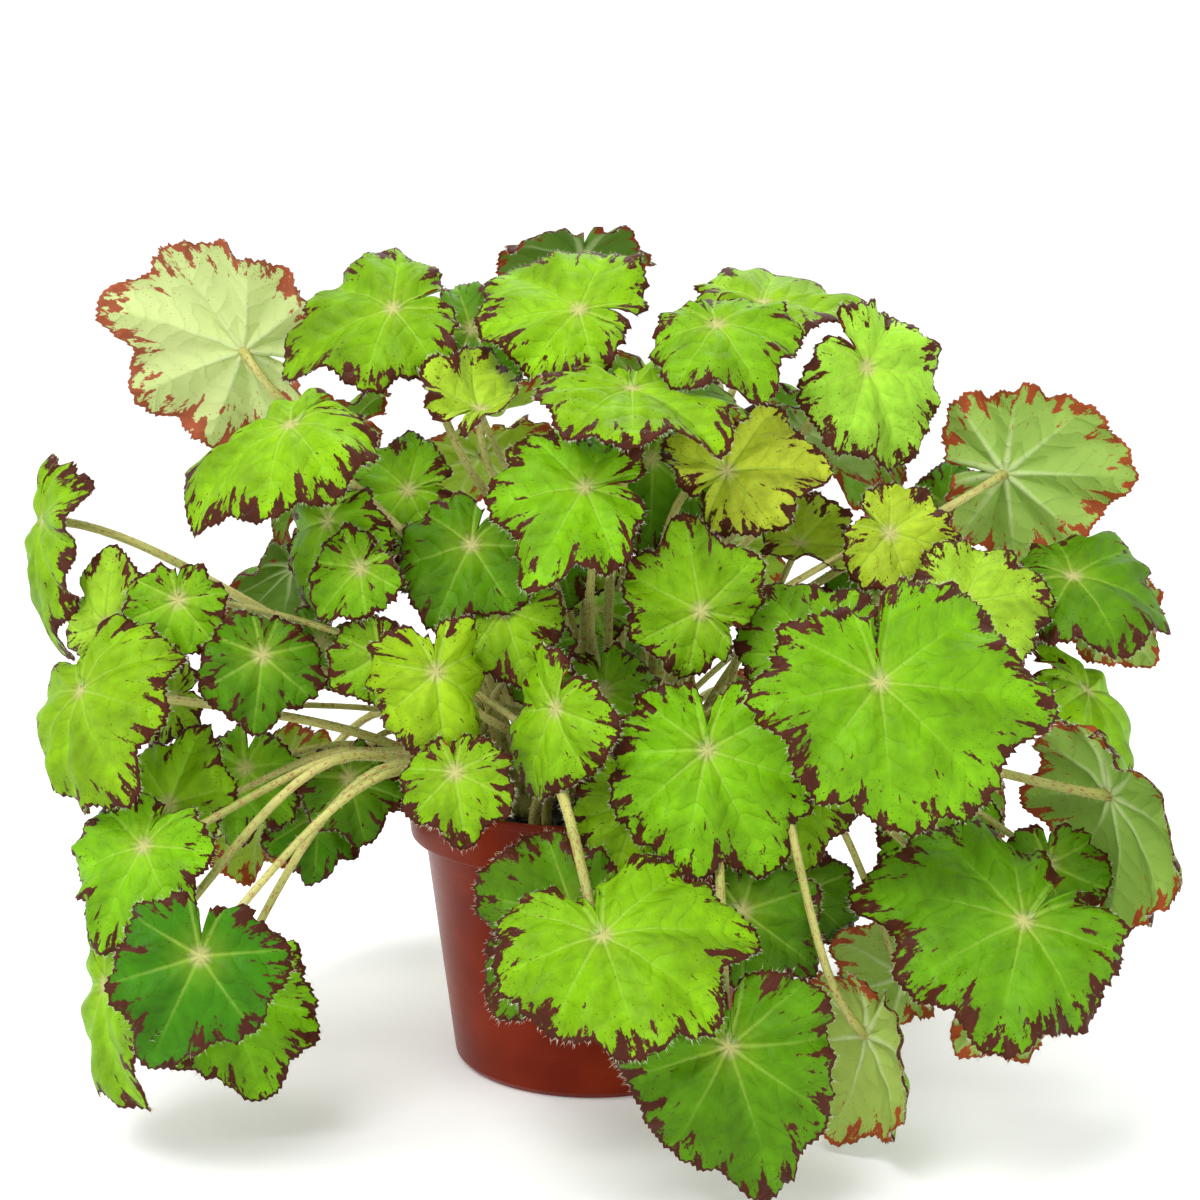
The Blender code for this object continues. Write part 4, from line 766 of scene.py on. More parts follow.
def tube(path, radii, sides):
    """Rings of points along a path, which turn as little as possible, in a (count, sides, 3) grid."""
    ahead = np.gradient(path, axis=0)
    ahead /= np.linalg.norm(ahead, axis=1, keepdims=True)
    across = unit(np.cross(ahead[0], (0.3, 1.0, 0.1)))
    turns = 2 * math.pi * np.arange(sides) / sides
    rings = []
    for spot, forward, radius in zip(path, ahead, radii):
        across = unit(across - forward * np.dot(across, forward))
        beside = np.cross(forward, across)
        rings.append(spot + radius * (np.outer(np.cos(turns), across) + np.outer(np.sin(turns), beside)))
    return np.array(rings)


def closed_tube(rings):
    """Points and faces of a tube closed by a point at each end."""
    count, sides, _ = rings.shape
    points = np.vstack((rings.reshape(-1, 3), rings[0].mean(0), rings[-1].mean(0)))
    first, last = count * sides, count * sides + 1
    turn = np.arange(sides)
    follow = (turn + 1) % sides
    low = np.stack((np.full(sides, first), follow, turn), -1)
    top = (count - 1) * sides
    high = np.stack((np.full(sides, last), top + turn, top + follow), -1)
    return points, [grid_faces(count, sides, closed=True), low, high]


def spikes(bases, directions, lengths, radius, draw):
    """Hairs as closed three-sided spikes: points, faces. Each stands on a base point along a direction."""
    directions = directions / np.linalg.norm(directions, axis=1, keepdims=True)
    helper = draw.normal(size=bases.shape)
    across = np.cross(directions, helper)
    across /= np.linalg.norm(across, axis=1, keepdims=True)
    beside = np.cross(directions, across)
    turns = 2 * math.pi * np.arange(3) / 3
    foot = [bases + radius * (math.cos(t) * across + math.sin(t) * beside) for t in turns]
    points = np.stack(foot + [bases + directions * lengths[:, None]], 1)
    start = 4 * np.arange(len(bases))[:, None]
    sides = [start + np.array(corners) for corners in ((0, 1, 3), (1, 2, 3), (2, 0, 3), (2, 1, 0))]
    return points.reshape(-1, 3), [np.vstack(sides)]


# Fine leaves
def seeded(name, salt=""):
    """Random numbers that are the same each time for a name."""
    return np.random.default_rng(list(f"{name}{salt}".encode()))


def toothed_margin(leaf, look, draw):
    """Angles around the blade with all veins and valleys among them, and how far each point of the
    margin stands out or in: every second point is the tip of a tooth, on low uneven scallops."""
    angles = []
    for start, end in zip(leaf.knots[:-1], leaf.knots[1:]):
        arc = (end - start) * leaf.length * float(leaf.reach(np.array(0.5 * (start + end))))
        count = max(2, 2 * round(arc / look.tooth_spacing))
        angles.append(np.linspace(start, end, count, endpoint=False))
    angles = np.append(np.concatenate(angles), leaf.knots[-1])
    size = look.tooth_depth * (0.6 + 0.4 * leaf.length / USUAL_LENGTH)
    out = draw.uniform(0.15, 1.0, len(angles)) ** 1.3 * size
    out[1::2] = -draw.uniform(0.0, 0.5, len(out[1::2])) * size
    run = angles * leaf.length * 2 * math.pi / look.scallop_spacing
    out += look.scallop_depth * size * np.sin(0.7 * run + 1.6 * np.sin(0.23 * run + leaf.phases[0]))
    jitter = draw.uniform(-0.25, 0.25, len(angles) - 2) * np.diff(angles)[:-1]
    inner = angles[1:-1] + jitter
    at_vein = np.isin(angles[1:-1], leaf.veins)
    angles[1:-1] = np.where(at_vein, angles[1:-1], inner)
    return angles, out


def blade_points(leaf, look, draw):
    """Upper face of a blade as a grid: the leaf's own surface, with teeth on its margin, a ripple that
    grows outwards, low blisters between the veins, and a crease in a soft valley along each vein."""
    angles, teeth = toothed_margin(leaf, look, draw)
    rows = look.rows if leaf.length > SHOOT_LENGTH else look.small_rows
    share = (1 - (1 - np.arange(1, rows + 1) / rows) ** 1.35)[:, None] * np.ones(len(angles))
    angle = np.ones((rows, 1)) * angles
    reach = leaf.reach(angle) * leaf.length
    points = leaf.surface(share, angle, teeth * share**10)
    away = np.abs(angle[..., None] - leaf.veins).min(-1)
    out = share * reach
    vein = out * np.sin(np.minimum(away, 1.5))
    waves = draw.uniform(0, 2 * math.pi, 6)
    ripple = np.sin(RIPPLES[0] * angle + waves[0]) + 0.7 * np.sin(RIPPLES[1] * angle + waves[1])
    ripple *= share**5
    x, y = out * np.sin(angle), out * np.cos(angle)
    across, along, slanting = BLISTER_WAVES
    blister = np.sin(x / across + waves[2]) * np.sin(y / along + waves[3])
    blister += np.sin((x + y) / slanting + waves[4])
    lift = look.ripple * leaf.length / USUAL_LENGTH * ripple
    lift += look.blister * blister * np.minimum(1.0, out / 12.0)
    lift -= look.crease * np.exp(-vein / 1.1) * (1 - 0.6 * share)
    lift -= look.valley * np.exp(-((vein / 3.6) ** 2)) * np.minimum(1.0, out / 8.0) * (1 - 0.5 * share)
    return angles, share, reach, vein, points + grid_normals(points) * lift[..., None]


def blade_maps(angles, share, reach, offset):
    """Four map values per point, in units of 100 mm: place in the flat blade, length along the margin,
    and distance from the margin."""
    angle = np.ones((len(share), 1)) * angles
    out = share * reach
    rim = np.stack((reach[-1] * np.sin(angles), reach[-1] * np.cos(angles)), -1)
    run = np.concatenate(([0.0], np.cumsum(np.linalg.norm(np.diff(rim, axis=0), axis=1))))
    length = np.ones((len(share), 1)) * run
    maps = np.stack((out * np.sin(angle), out * np.cos(angle), length, reach - out), -1) / MAP
    maps[..., 2] += offset
    return maps


def add_blade(surface, leaf, look):
    """Both faces of a blade, its edge and the sides of its notch, closed."""
    draw = seeded(leaf.name)
    offset = draw.uniform(0, 20)
    angles, share, reach, vein, top = blade_points(leaf, look, draw)
    rows, columns = share.shape
    normals = grid_normals(top)
    thick = look.thickness * (1 - 0.45 * share**3)
    thick = thick + look.under_vein * np.exp(-vein / 0.8) * (1 - share) ** 0.8
    under = top - normals * thick[..., None]
    middle = leaf.hub - leaf.normal * look.crease
    maps = blade_maps(angles, share, reach, offset)
    centre_map = np.array((0.0, 0.0, maps[0, :, 2].mean(), reach.mean() / MAP))
    faces = blade_faces(rows, columns)
    low_middle = middle - leaf.normal * look.thickness
    points = np.vstack((top.reshape(-1, 3), middle, under.reshape(-1, 3), low_middle))
    half_map = np.vstack((maps.reshape(-1, 4), centre_map))
    half_vein = np.append(vein.ravel(), 0.0)
    side = np.repeat((0.0, 1.0), len(half_vein))
    values = np.stack((np.tile(half_vein, 2), side), -1)
    surface.add(points, faces, BLADE_FINISH, np.vstack((half_map, half_map)), values)
    add_margin_hairs(surface, look, top, under, draw)


def blade_faces(rows, columns):
    """Faces of the closed blade: the two grids, the fans at the hub, the edge and the two notch sides."""
    half = rows * columns + 1
    hub = rows * columns
    grid = grid_faces(rows, columns)
    step = np.arange(columns - 1)
    fan = np.stack((np.full(columns - 1, hub), step + 1, step), -1)
    last = (rows - 1) * columns
    edge = np.stack((last + step, last + step + 1, half + last + step + 1, half + last + step), -1)
    first_side = notch_faces(np.concatenate(([hub], np.arange(rows) * columns)), half)
    second_side = notch_faces(np.concatenate(([hub], np.arange(rows) * columns + columns - 1)), half)[:, ::-1]
    return [grid, grid[:, ::-1] + half, fan, fan[:, ::-1] + half, edge, first_side, second_side]


def notch_faces(line, half):
    """Faces between a line of points on the upper face and its twin below."""
    return np.stack((line[:-1], line[1:], line[1:] + half, line[:-1] + half), -1)


def add_margin_hairs(surface, look, top, under, draw):
    """Pale hairs that stand out from the margin at uneven angles."""
    rim = 0.5 * (top[-1] + under[-1])
    outward = unit_rows(rim - 0.5 * (top[-3] + under[-3]))
    normals = grid_normals(top)[-1]
    count = int(len(rim) * look.margin_hairs)
    at = draw.uniform(0, len(rim) - 1.001, count)
    low = at.astype(int)
    part = (at - low)[:, None]
    bases = rim[low] * (1 - part) + rim[low + 1] * part - outward[low] * 0.1
    along = unit_rows(rim[low + 1] - rim[low])
    directions = outward[low] + 0.5 * along * draw.normal(size=(count, 1))
    directions += normals[low] * draw.normal(0.15, 0.45, (count, 1))
    lengths = look.hair_length * draw.uniform(0.35, 1.0, count) ** 1.2
    points, faces = spikes(bases, directions, lengths, look.hair_radius, draw)
    surface.add(points, faces, HAIR_FINISH)


def unit_rows(rows):
    """Each row divided by its length."""
    return rows / np.maximum(np.linalg.norm(rows, axis=-1, keepdims=True), 1e-9)


def add_stalk(surface, leaf, look):
    """A round stalk that swells at its foot and below the hub, with hairs all along."""
    draw = seeded(leaf.name, " stalk")
    path = leaf.course(look.stalk_steps)
    path[-1] = leaf.hub - leaf.normal * look.crease
    at = np.linspace(0, 1, len(path))
    radii = leaf.stalk * (STALK_LOWER - STALK_TAPER * at)
    radii[:2] = leaf.stalk * STALK_FOOT_SWELL
    radii += leaf.stalk * HUB_SWELL * np.exp(-(1 - at) / HUB_SWELL_SHARE)
    rings = tube(path, radii, look.stalk_sides)
    rings = keep_below(rings, leaf)
    points, faces = closed_tube(rings)
    run = np.concatenate(([0.0], np.cumsum(np.linalg.norm(np.diff(path, axis=0), axis=1))))
    around = np.arange(look.stalk_sides) / look.stalk_sides
    maps = np.zeros((len(path), look.stalk_sides, 4))
    maps[..., 0] = run[:, None] / MAP + draw.uniform(0, 20)
    maps[..., 1] = np.abs(around - 0.5) * 2 * math.pi * leaf.stalk / MAP
    maps = np.vstack((maps.reshape(-1, 4), maps[0, 0], maps[-1, 0]))
    surface.add(points, faces, STALK_FINISH, maps)
    add_stalk_hairs(surface, look, path, rings, run[-1], draw)


def keep_below(rings, leaf):
    """Press what would stand through the blade flat against its underside."""
    height = (rings - leaf.hub) @ leaf.normal
    near = np.linalg.norm(rings - leaf.hub, axis=-1) < 4 * leaf.stalk
    excess = np.where(near, np.maximum(0.0, height + STALK_SEAT), 0.0)
    return rings - excess[..., None] * leaf.normal


def add_stalk_hairs(surface, look, path, rings, length, draw):
    """Hairs on seeded spots between the rings of a stalk, pointing away from its centre line."""
    count = int(length * look.stalk_hairs)
    ring = draw.integers(2, len(path) - 1, count)
    side = draw.integers(0, look.stalk_sides, count)
    part = draw.uniform(0, 1, (count, 1))
    bases = rings[ring, side] * (1 - part) + rings[ring + 1, side] * part
    centre = path[ring] * (1 - part) + path[ring + 1] * part
    directions = unit_rows(bases - centre) + draw.normal(0, 0.35, (count, 3))
    lengths = look.hair_length * draw.uniform(0.25, 0.7, count)
    points, faces = spikes(bases, directions, lengths, look.hair_radius, draw)
    surface.add(points, faces, HAIR_FINISH)


def leaf_tints(leaf, look):
    """The greens of a blade above and below, a little lighter or darker for each leaf, each with the
    leaf's share of brown marks. A leaf that shows its pale underside is green above."""
    draw = seeded(leaf.name, " tint")
    tone = getattr(look, f"{leaf.tone}_green")
    own = linear(LEAF_GREENS_AND_PAINTED_LIGHT[leaf.name]) if leaf.name in LEAF_GREENS_AND_PAINTED_LIGHT else tone
    above = look.mid_green if leaf.tone == "pale" else own
    colours = np.array((above, own))
    colours *= 1 + look.tint_spread * draw.uniform(-1, 1)
    colours[:, 0] *= 1 + look.tint_spread * draw.uniform(-1, 1)
    large = (leaf.length - MARKED_LENGTHS[0]) / (MARKED_LENGTHS[1] - MARKED_LENGTHS[0])
    share = 0.45 * draw.uniform(0, 1) + 0.55 * large
    shares = np.full((2, 1), min(1.0, max(0.0, share)))
    return np.hstack((np.clip(colours, 0, 1), shares))


def build_leaf_piece(name, leaves, finishes, look, add_stem=None):
    """One piece with the given leaves, and a stem if there is one."""
    surface = Surface()
    tints = []
    if add_stem:
        add_stem(surface)
        tints += [np.append(linear(RHIZOME_GREEN), 1.0)] * len(surface.points)
    for leaf in leaves:
        before = len(surface.points)
        add_blade(surface, leaf, look)
        add_stalk(surface, leaf, look)
        above, below = leaf_tints(leaf, look)
        tints.append(np.repeat((above, below), len(surface.points[before]) // 2, axis=0))
        tints += [above] * (len(surface.points) - before - 1)
    return surface.build(name, finishes, tints)


# Pot, soil and rhizomes
def rounded(profile, radius, steps):
    """The corners of a profile replaced by short curves: each point becomes a quadratic arc between the
    points at most a radius before and after it."""
    out = [profile[0]]
    for before, corner, after in zip(profile[:-2], profile[1:-1], profile[2:]):
        before, corner, after = (np.array(p, float) for p in (before, corner, after))
        start = corner + unit(before - corner) * min(radius, 0.45 * np.linalg.norm(before - corner))
        end = corner + unit(after - corner) * min(radius, 0.45 * np.linalg.norm(after - corner))
        for t in np.linspace(0, 1, steps):
            out.append(tuple((1 - t) ** 2 * start + 2 * t * (1 - t) * corner + t * t * end))
    out.append(profile[-1])
    return out


def turned(profile, sides):
    """A profile turned about the pot's axis: rings from the lower middle to the upper middle."""
    turns = 2 * math.pi * np.arange(sides) / sides
    circle = np.stack((np.cos(turns), np.sin(turns)), -1)
    rings = [np.hstack((circle * r, np.full((sides, 1), z))) for r, z in profile[1:-1]]
    return np.array(rings)


def closed_turned(rings, profile):
    """Points and faces of a turned body with a middle point at both ends of its profile."""
    points, faces = closed_tube(rings)
    points[-2] = (0.0, 0.0, profile[0][1])
    points[-1] = (0.0, 0.0, profile[-1][1])
    return points, faces


def pot_line():
    """Outer and inner line of the pot, from the middle of the base to the middle of the floor."""
    band_foot = POT_HEIGHT - BAND_HEIGHT
    lip = POT_HEIGHT - LIP_HEIGHT
    return [
        (0.0, 0.6),
        (BASE_RADIUS - 7.0, 0.6),
        (BASE_RADIUS - 6.0, 0.0),
        (BASE_RADIUS - 1.4 * FOOT_EDGE, 0.0),
        (BASE_RADIUS - 0.1 * FOOT_EDGE, 1.4 * FOOT_EDGE),
        (WALL_TOP_RADIUS, band_foot - LIP_EDGE),
        (BAND_FOOT_RADIUS - BAND_EDGE, band_foot),
        (BAND_FOOT_RADIUS, band_foot + BAND_EDGE),
        (LIP_RADIUS - BAND_EDGE, lip - LIP_EDGE),
        (LIP_RADIUS, lip),
        (LIP_RADIUS, POT_HEIGHT - LIP_EDGE),
        (LIP_RADIUS - LIP_EDGE, POT_HEIGHT),
        (LIP_RADIUS - LIP_WALL, POT_HEIGHT),
        (BAND_FOOT_RADIUS - WALL, band_foot + BAND_STEP),
        (WALL_TOP_RADIUS - WALL, band_foot - BAND_STEP),
        (BASE_RADIUS - WALL, FLOOR),
        (0.0, FLOOR),
    ]


def cut_away(thing, cutters):
    """Cut the given closed objects from a piece and remove them."""
    group = bpy.data.collections.new("cutters")
    bpy.context.scene.collection.children.link(group)
    for cutter in cutters:
        bpy.context.scene.collection.objects.unlink(cutter)
        group.objects.link(cutter)
    modifier = thing.modifiers.new("cut", "BOOLEAN")
    modifier.operation = "DIFFERENCE"
    modifier.operand_type = "COLLECTION"
    modifier.collection = group
    modifier.solver = "MANIFOLD"
    graph = bpy.context.evaluated_depsgraph_get()
    result = bpy.data.meshes.new_from_object(thing.evaluated_get(graph))
    thing.modifiers.clear()
    thing.data = result
    for cutter in cutters:
        bpy.data.objects.remove(cutter, do_unlink=True)
    bpy.data.collections.remove(group)


def build_pot_piece(finish, look):
    """The pot's line turned finely, with its drain holes cut through the base."""
    line = rounded(pot_line(), look.edge_radius, 5)
    surface = Surface()
    surface.add(*closed_turned(turned(line, look.sides), line), 0)
    pot = surface.build("begonia_pot", [finish])
    drills = []
    for i in range(DRAIN_HOLES):
        turn = 2 * math.pi * (i + 0.5) / DRAIN_HOLES
        x, y = DRAIN_CIRCLE * math.cos(turn), DRAIN_CIRCLE * math.sin(turn)
        path = np.array([(x, y, z) for z in (-2.0, FLOOR + 2.0)])
        drill = Surface()
        drill.add(*closed_tube(tube(path, (DRAIN_RADIUS, DRAIN_RADIUS), 32)), 0)
        drills.append(drill.build(f"drill_{i}", [finish]))
    cut_away(pot, drills)
    pot.data.set_sharp_from_angle(angle=math.radians(50))
    return pot


def lumps(x, y, waves):
    """Uneven height over the plane: a sum of sines, each with its size, direction, phase and height."""
    total = np.zeros(np.shape(x))
    for size, turn, phase, height in waves:
        total = total + height * np.sin((x * math.cos(turn) + y * math.sin(turn)) / size + phase)
    return total


def build_soil_piece(finish, look):
    """Soil as a turned body whose top is broken up by waves of falling size, with loose crumbs on it."""
    draw = np.random.default_rng(SOIL_SEED)
    band_foot = POT_HEIGHT - BAND_HEIGHT
    inner = BAND_FOOT_RADIUS - WALL - GAP
    side = [
        (0.0, FLOOR + GAP),
        (BASE_RADIUS - WALL - 2 * GAP, FLOOR + GAP),
        (WALL_TOP_RADIUS - WALL - GAP, band_foot - BAND_STEP + GAP),
        (inner, band_foot + BAND_STEP + GAP),
        (inner + GAP, SOIL_EDGE),
    ]
    radii = (inner + GAP) * (1 - np.arange(1, look.rows) / look.rows)
    dome = [(r, SOIL_EDGE + SOIL_DOME * (1 - (r / inner) ** 2)) for r in radii]
    line = side + dome + [(0.0, SOIL_EDGE + SOIL_DOME)]
    rings = turned(line, look.sides)
    circle = 2 * math.pi
    waves = [
        (size, draw.uniform(0, circle), draw.uniform(0, circle), look.relief * size / WAVES[0])
        for size in WAVES
    ]
    top = rings[len(side) - 1:]
    fade = np.minimum(1.0, (inner + GAP - np.hypot(top[..., 0], top[..., 1])) / 3.0)
    top[..., 2] += (lumps(top[..., 0], top[..., 1], waves) + draw.uniform(-0.35, 0.35, top.shape[:2])) * fade
    surface = Surface()
    surface.add(*closed_turned(rings, line), 0)
    add_crumbs(surface, look, draw, inner)
    return surface.build("begonia_soil", [finish])


def add_crumbs(surface, look, draw, inner):
    """Small eight-sided lumps half sunk in the soil."""
    corners = np.array([(1, 0, 0), (0, 1, 0), (-1, 0, 0), (0, -1, 0), (0, 0, 1), (0, 0, -1)], float)
    faces = np.array([(0, 1, 4), (1, 2, 4), (2, 3, 4), (3, 0, 4), (1, 0, 5), (2, 1, 5), (3, 2, 5), (0, 3, 5)])
    count = look.crumbs
    far = (inner - 1.5) * np.sqrt(draw.uniform(0, 1, count))
    turn = draw.uniform(0, 2 * math.pi, count)
    size = draw.uniform(0.5, 1.7, (count, 1, 1)) * draw.uniform(0.6, 1.3, (count, 6, 1))
    height = SOIL_EDGE + SOIL_DOME * (1 - (far / inner) ** 2)
    places = np.stack((far * np.cos(turn), far * np.sin(turn), height), -1)
    points = places[:, None] + size * corners
    blocks = (faces[None] + 6 * np.arange(count)[:, None, None]).reshape(-1, 3)
    surface.add(points, [blocks], 0)


def rhizome_surface(name, look):
    """A function that adds a rhizome: a tube along its line, blunt at both ends, whose radius swells by a
    sine from shoot to shoot, with a slightly rough skin and short hairs."""
    def add(surface):
        draw = seeded(name, " stem")
        path = rhizome_line(name, look.stem_steps)
        first = path[0] - RHIZOME_END * unit(path[1] - path[0])
        last = path[-1] + RHIZOME_END * unit(path[-1] - path[-2])
        path = np.vstack((first, path, last))
        at = np.linspace(0, 1, len(path))
        length = float(np.sum(np.linalg.norm(np.diff(path, axis=0), axis=1)))
        radii = RHIZOME_RADIUS * (1 + 0.05 * np.sin(2 * math.pi * at * length / SHOOT_SPACING))
        radii[0] *= RHIZOME_BLUNT
        radii[-1] *= RHIZOME_BLUNT
        rings = tube(path, radii, look.stem_sides)
        rings += draw.normal(0, 0.08, rings.shape)
        points, faces = closed_tube(rings)
        maps = np.zeros((len(points), 4))
        maps[:-2, 0] = np.repeat(at * length / MAP, look.stem_sides)
        surface.add(points, faces, STEM_FINISH, maps)
        hairs = draw.integers(0, len(points) - 2, int(length * 5))
        centre = np.repeat(path, look.stem_sides, axis=0)
        directions = unit_rows(points[hairs] - centre[hairs]) + draw.normal(0, 0.4, (len(hairs), 3))
        lengths = draw.uniform(0.8, 2.0, len(hairs))
        hair_points, hair_faces = spikes(points[hairs], directions, lengths, look.hair_radius, draw)
        surface.add(hair_points, hair_faces, HAIR_FINISH)
    return add


# Finishes
def linear(code):
    """Linear colour of an sRGB hex code."""
    parts = [int(code[i:i + 2], 16) / 255 for i in (1, 3, 5)]
    return [p / 12.92 if p <= 0.04045 else ((p + 0.055) / 1.055) ** 2.4 for p in parts]


def shade(code):
    """Linear colour of an sRGB hex code, opaque."""
    return (*linear(code), 1.0)


def add_node(tree, kind, inputs=(), output=0, **settings):
    """Add a node and return one of its outputs. Inputs pair a socket with a value or another output."""
    made = tree.nodes.new(kind)
    for key, value in settings.items():
        setattr(made, key, value)
    for key, value in dict(inputs).items():
        if isinstance(value, bpy.types.NodeSocket):
            tree.links.new(value, made.inputs[key])
        else:
            made.inputs[key].default_value = value
    return made.outputs[output]


def maths(tree, operation, first, second=0.0, third=0.0):
    """A sum, product or other operation on one to three values."""
    return add_node(tree, "ShaderNodeMath", {0: first, 1: second, 2: third}, operation=operation)


def step_up(tree, value, low, high):
    """0 below low, 1 above high, smooth between."""
    return add_node(tree, "ShaderNodeMapRange", {0: value, 1: low, 2: high}, interpolation_type="SMOOTHSTEP")


def blend(tree, factor, first, second):
    """Mix two colours."""
    return add_node(tree, "ShaderNodeMix", {0: factor, 6: first, 7: second}, output=2, data_type="RGBA")


def noise(tree, place, scale, detail=2.0, roughness=0.5, flat=True):
    """Noise over a map, or in space."""
    kind = "2D" if flat else "3D"
    inputs = {"Vector": place, "Scale": scale, "Detail": detail, "Roughness": roughness}
    return add_node(tree, "ShaderNodeTexNoise", inputs, noise_dimensions=kind)


def stretched(tree, place, along, across):
    """A map scaled differently in its two directions."""
    inputs = {0: place, 1: (along, across, 1.0)}
    return add_node(tree, "ShaderNodeVectorMath", inputs, operation="MULTIPLY")


def new_finish(name):
    """A material with its tree and its Principled shader."""
    material = bpy.data.materials.new(name)
    material.use_nodes = True
    tree = material.node_tree
    return material, tree, tree.nodes["Principled BSDF"]


def bumped(tree, shader, height, distance, strength=0.6):
    """Join a height in relief of the given depth in metres to a shader."""
    inputs = {"Height": height, "Distance": distance, "Strength": strength}
    tree.links.new(add_node(tree, "ShaderNodeBump", inputs), shader.inputs["Normal"])


def let_through(tree, shader, colour, share):
    """Let some light through a thin blade."""
    glow = add_node(tree, "ShaderNodeBsdfTranslucent", {"Color": colour})
    mixed = add_node(tree, "ShaderNodeMixShader", {0: share, 1: shader.outputs[0], 2: glow})
    tree.links.new(mixed, tree.nodes["Material Output"].inputs["Surface"])


def margin_marks(tree, arc_edge, edge, share, look):
    """Where the brown marks lie: ragged tongues that run in from the margin, and specks further in. The
    share says how many a leaf has."""
    long = stretched(tree, arc_edge, MAP / look.mark_width, MAP / look.mark_length)
    tongues = noise(tree, long, 1.0, 2.0, 0.45)
    ragged = noise(tree, stretched(tree, arc_edge, MAP / 1.6, MAP / 2.7), 1.0, 4.0, 0.7)
    amount = maths(tree, "MULTIPLY_ADD", ragged, 0.36, maths(tree, "MULTIPLY", tongues, 0.64))
    rim = maths(tree, "MULTIPLY", step_up(tree, edge, 1.5, 0.2), 0.15)
    amount = maths(tree, "ADD", amount, rim)
    limit = maths(tree, "MULTIPLY_ADD", share, -look.mark_spread, look.mark_level + 0.5 * look.mark_spread)
    limit = maths(tree, "MULTIPLY_ADD", edge, look.mark_fall, limit)
    over = maths(tree, "SUBTRACT", amount, limit)
    marks = step_up(tree, over, -0.006, 0.012)
    fine = noise(tree, stretched(tree, arc_edge, MAP / 0.8, MAP / 1.1), 1.0, 1.0, 0.5)
    far = maths(tree, "MULTIPLY", step_up(tree, edge, 17.0, 4.0), 0.05)
    specks = step_up(tree, maths(tree, "ADD", fine, far), 0.775, 0.81)
    return maths(tree, "MAXIMUM", marks, specks)


def vein_lines(tree, flat, radius, vein):
    """Main veins that fade outwards, a soft light band beside them, side veins that leave them at a slant
    and wander, and the height of the blisters between side veins."""
    width = maths(tree, "MAXIMUM", maths(tree, "MULTIPLY_ADD", radius, -0.013, 1.05), 0.35)
    line = maths(tree, "SUBTRACT", 1.0, step_up(tree, maths(tree, "DIVIDE", vein, width), 0.0, 1.0))
    main = maths(tree, "MULTIPLY", line, step_up(tree, radius, 36.0, 3.0))
    band = maths(tree, "SUBTRACT", 1.0, step_up(tree, vein, 0.0, 3.2))
    wander = maths(tree, "MULTIPLY", noise(tree, flat, MAP / 9.0, 2.0, 0.6), 7.0)
    slant = maths(tree, "ADD", maths(tree, "MULTIPLY_ADD", vein, -0.85, radius), wander)
    phase = maths(tree, "FRACT", maths(tree, "DIVIDE", slant, 6.5))
    off = maths(tree, "ABSOLUTE", maths(tree, "SUBTRACT", phase, 0.5))
    side = step_up(tree, off, 0.45, 0.5)
    blister = maths(tree, "SUBTRACT", 1.0, maths(tree, "MULTIPLY", off, maths(tree, "MULTIPLY", off, 4.0)))
    return main, band, side, blister


def upper_green(tree, tint, radius, lines, cloud, mottle):
    """Green of the upper face: the piece's tint, cloudy and lighter beside the veins, with painted light on
    the tops of the blisters and painted shade in the creases between them, paler on the veins and around the
    hub, and cream on the hub itself."""
    main, band, small, blister = lines
    value = maths(tree, "MULTIPLY_ADD", cloud, 1.1, maths(tree, "MULTIPLY_ADD", mottle, 0.35, 0.22))
    # Painted light and shade: the tops of the blisters are painted a little lighter than the creases between
    # them
    value = maths(tree, "MULTIPLY_ADD", blister, 0.08, value)
    value = maths(tree, "MULTIPLY_ADD", band, 0.16, value)
    green = add_node(tree, "ShaderNodeVectorMath", {0: tint, "Scale": value}, operation="SCALE")
    green = blend(tree, maths(tree, "MULTIPLY", small, 0.10), green, shade("#9CCB34"))
    green = blend(tree, maths(tree, "MULTIPLY", main, 0.42), green, shade("#BFDF60"))
    glow = maths(tree, "SUBTRACT", 1.0, step_up(tree, radius, 1.0, 13.0))
    green = blend(tree, maths(tree, "MULTIPLY", glow, 0.22), green, shade("#C6DC44"))
    hub = maths(tree, "SUBTRACT", 1.0, step_up(tree, radius, 0.8, 4.5))
    return blend(tree, maths(tree, "MULTIPLY", hub, 0.75), green, shade("#E2D796"))


def lower_green(tree, tint, main, cloud):
    """Green of the underside: the piece's tint, paler and cloudy, with light veins."""
    green = blend(tree, cloud, shade("#94BE4A"), shade("#B8D876"))
    green = blend(tree, 0.7, green, tint)
    return blend(tree, maths(tree, "MULTIPLY", main, 0.7), green, shade("#DDEBB0"))


def mark_colours(tree, arc_edge, look):
    """Browns of the marks above and reds of the marks below, uneven from patch to patch."""
    patch = noise(tree, stretched(tree, arc_edge, MAP / 9.0, MAP / 9.0), 1.0, 3.0, 0.6)
    brown = blend(tree, patch, (*look.mark_dark, 1.0), (*look.mark_light, 1.0))
    red = blend(tree, patch, (*look.mark_deep_red, 1.0), (*look.mark_red, 1.0))
    return brown, red


def blade_relief(tree, flat, lines):
    """Height of a fine grain and of the blisters, cut by the main and side veins."""
    main, _, small, blister = lines
    grain = noise(tree, flat, MAP / 0.7, 2.0, 0.5)
    relief = maths(tree, "MULTIPLY_ADD", grain, 0.22, maths(tree, "MULTIPLY", blister, 0.6))
    relief = maths(tree, "MULTIPLY_ADD", small, -0.08, relief)
    return maths(tree, "MULTIPLY_ADD", main, -0.7, relief)


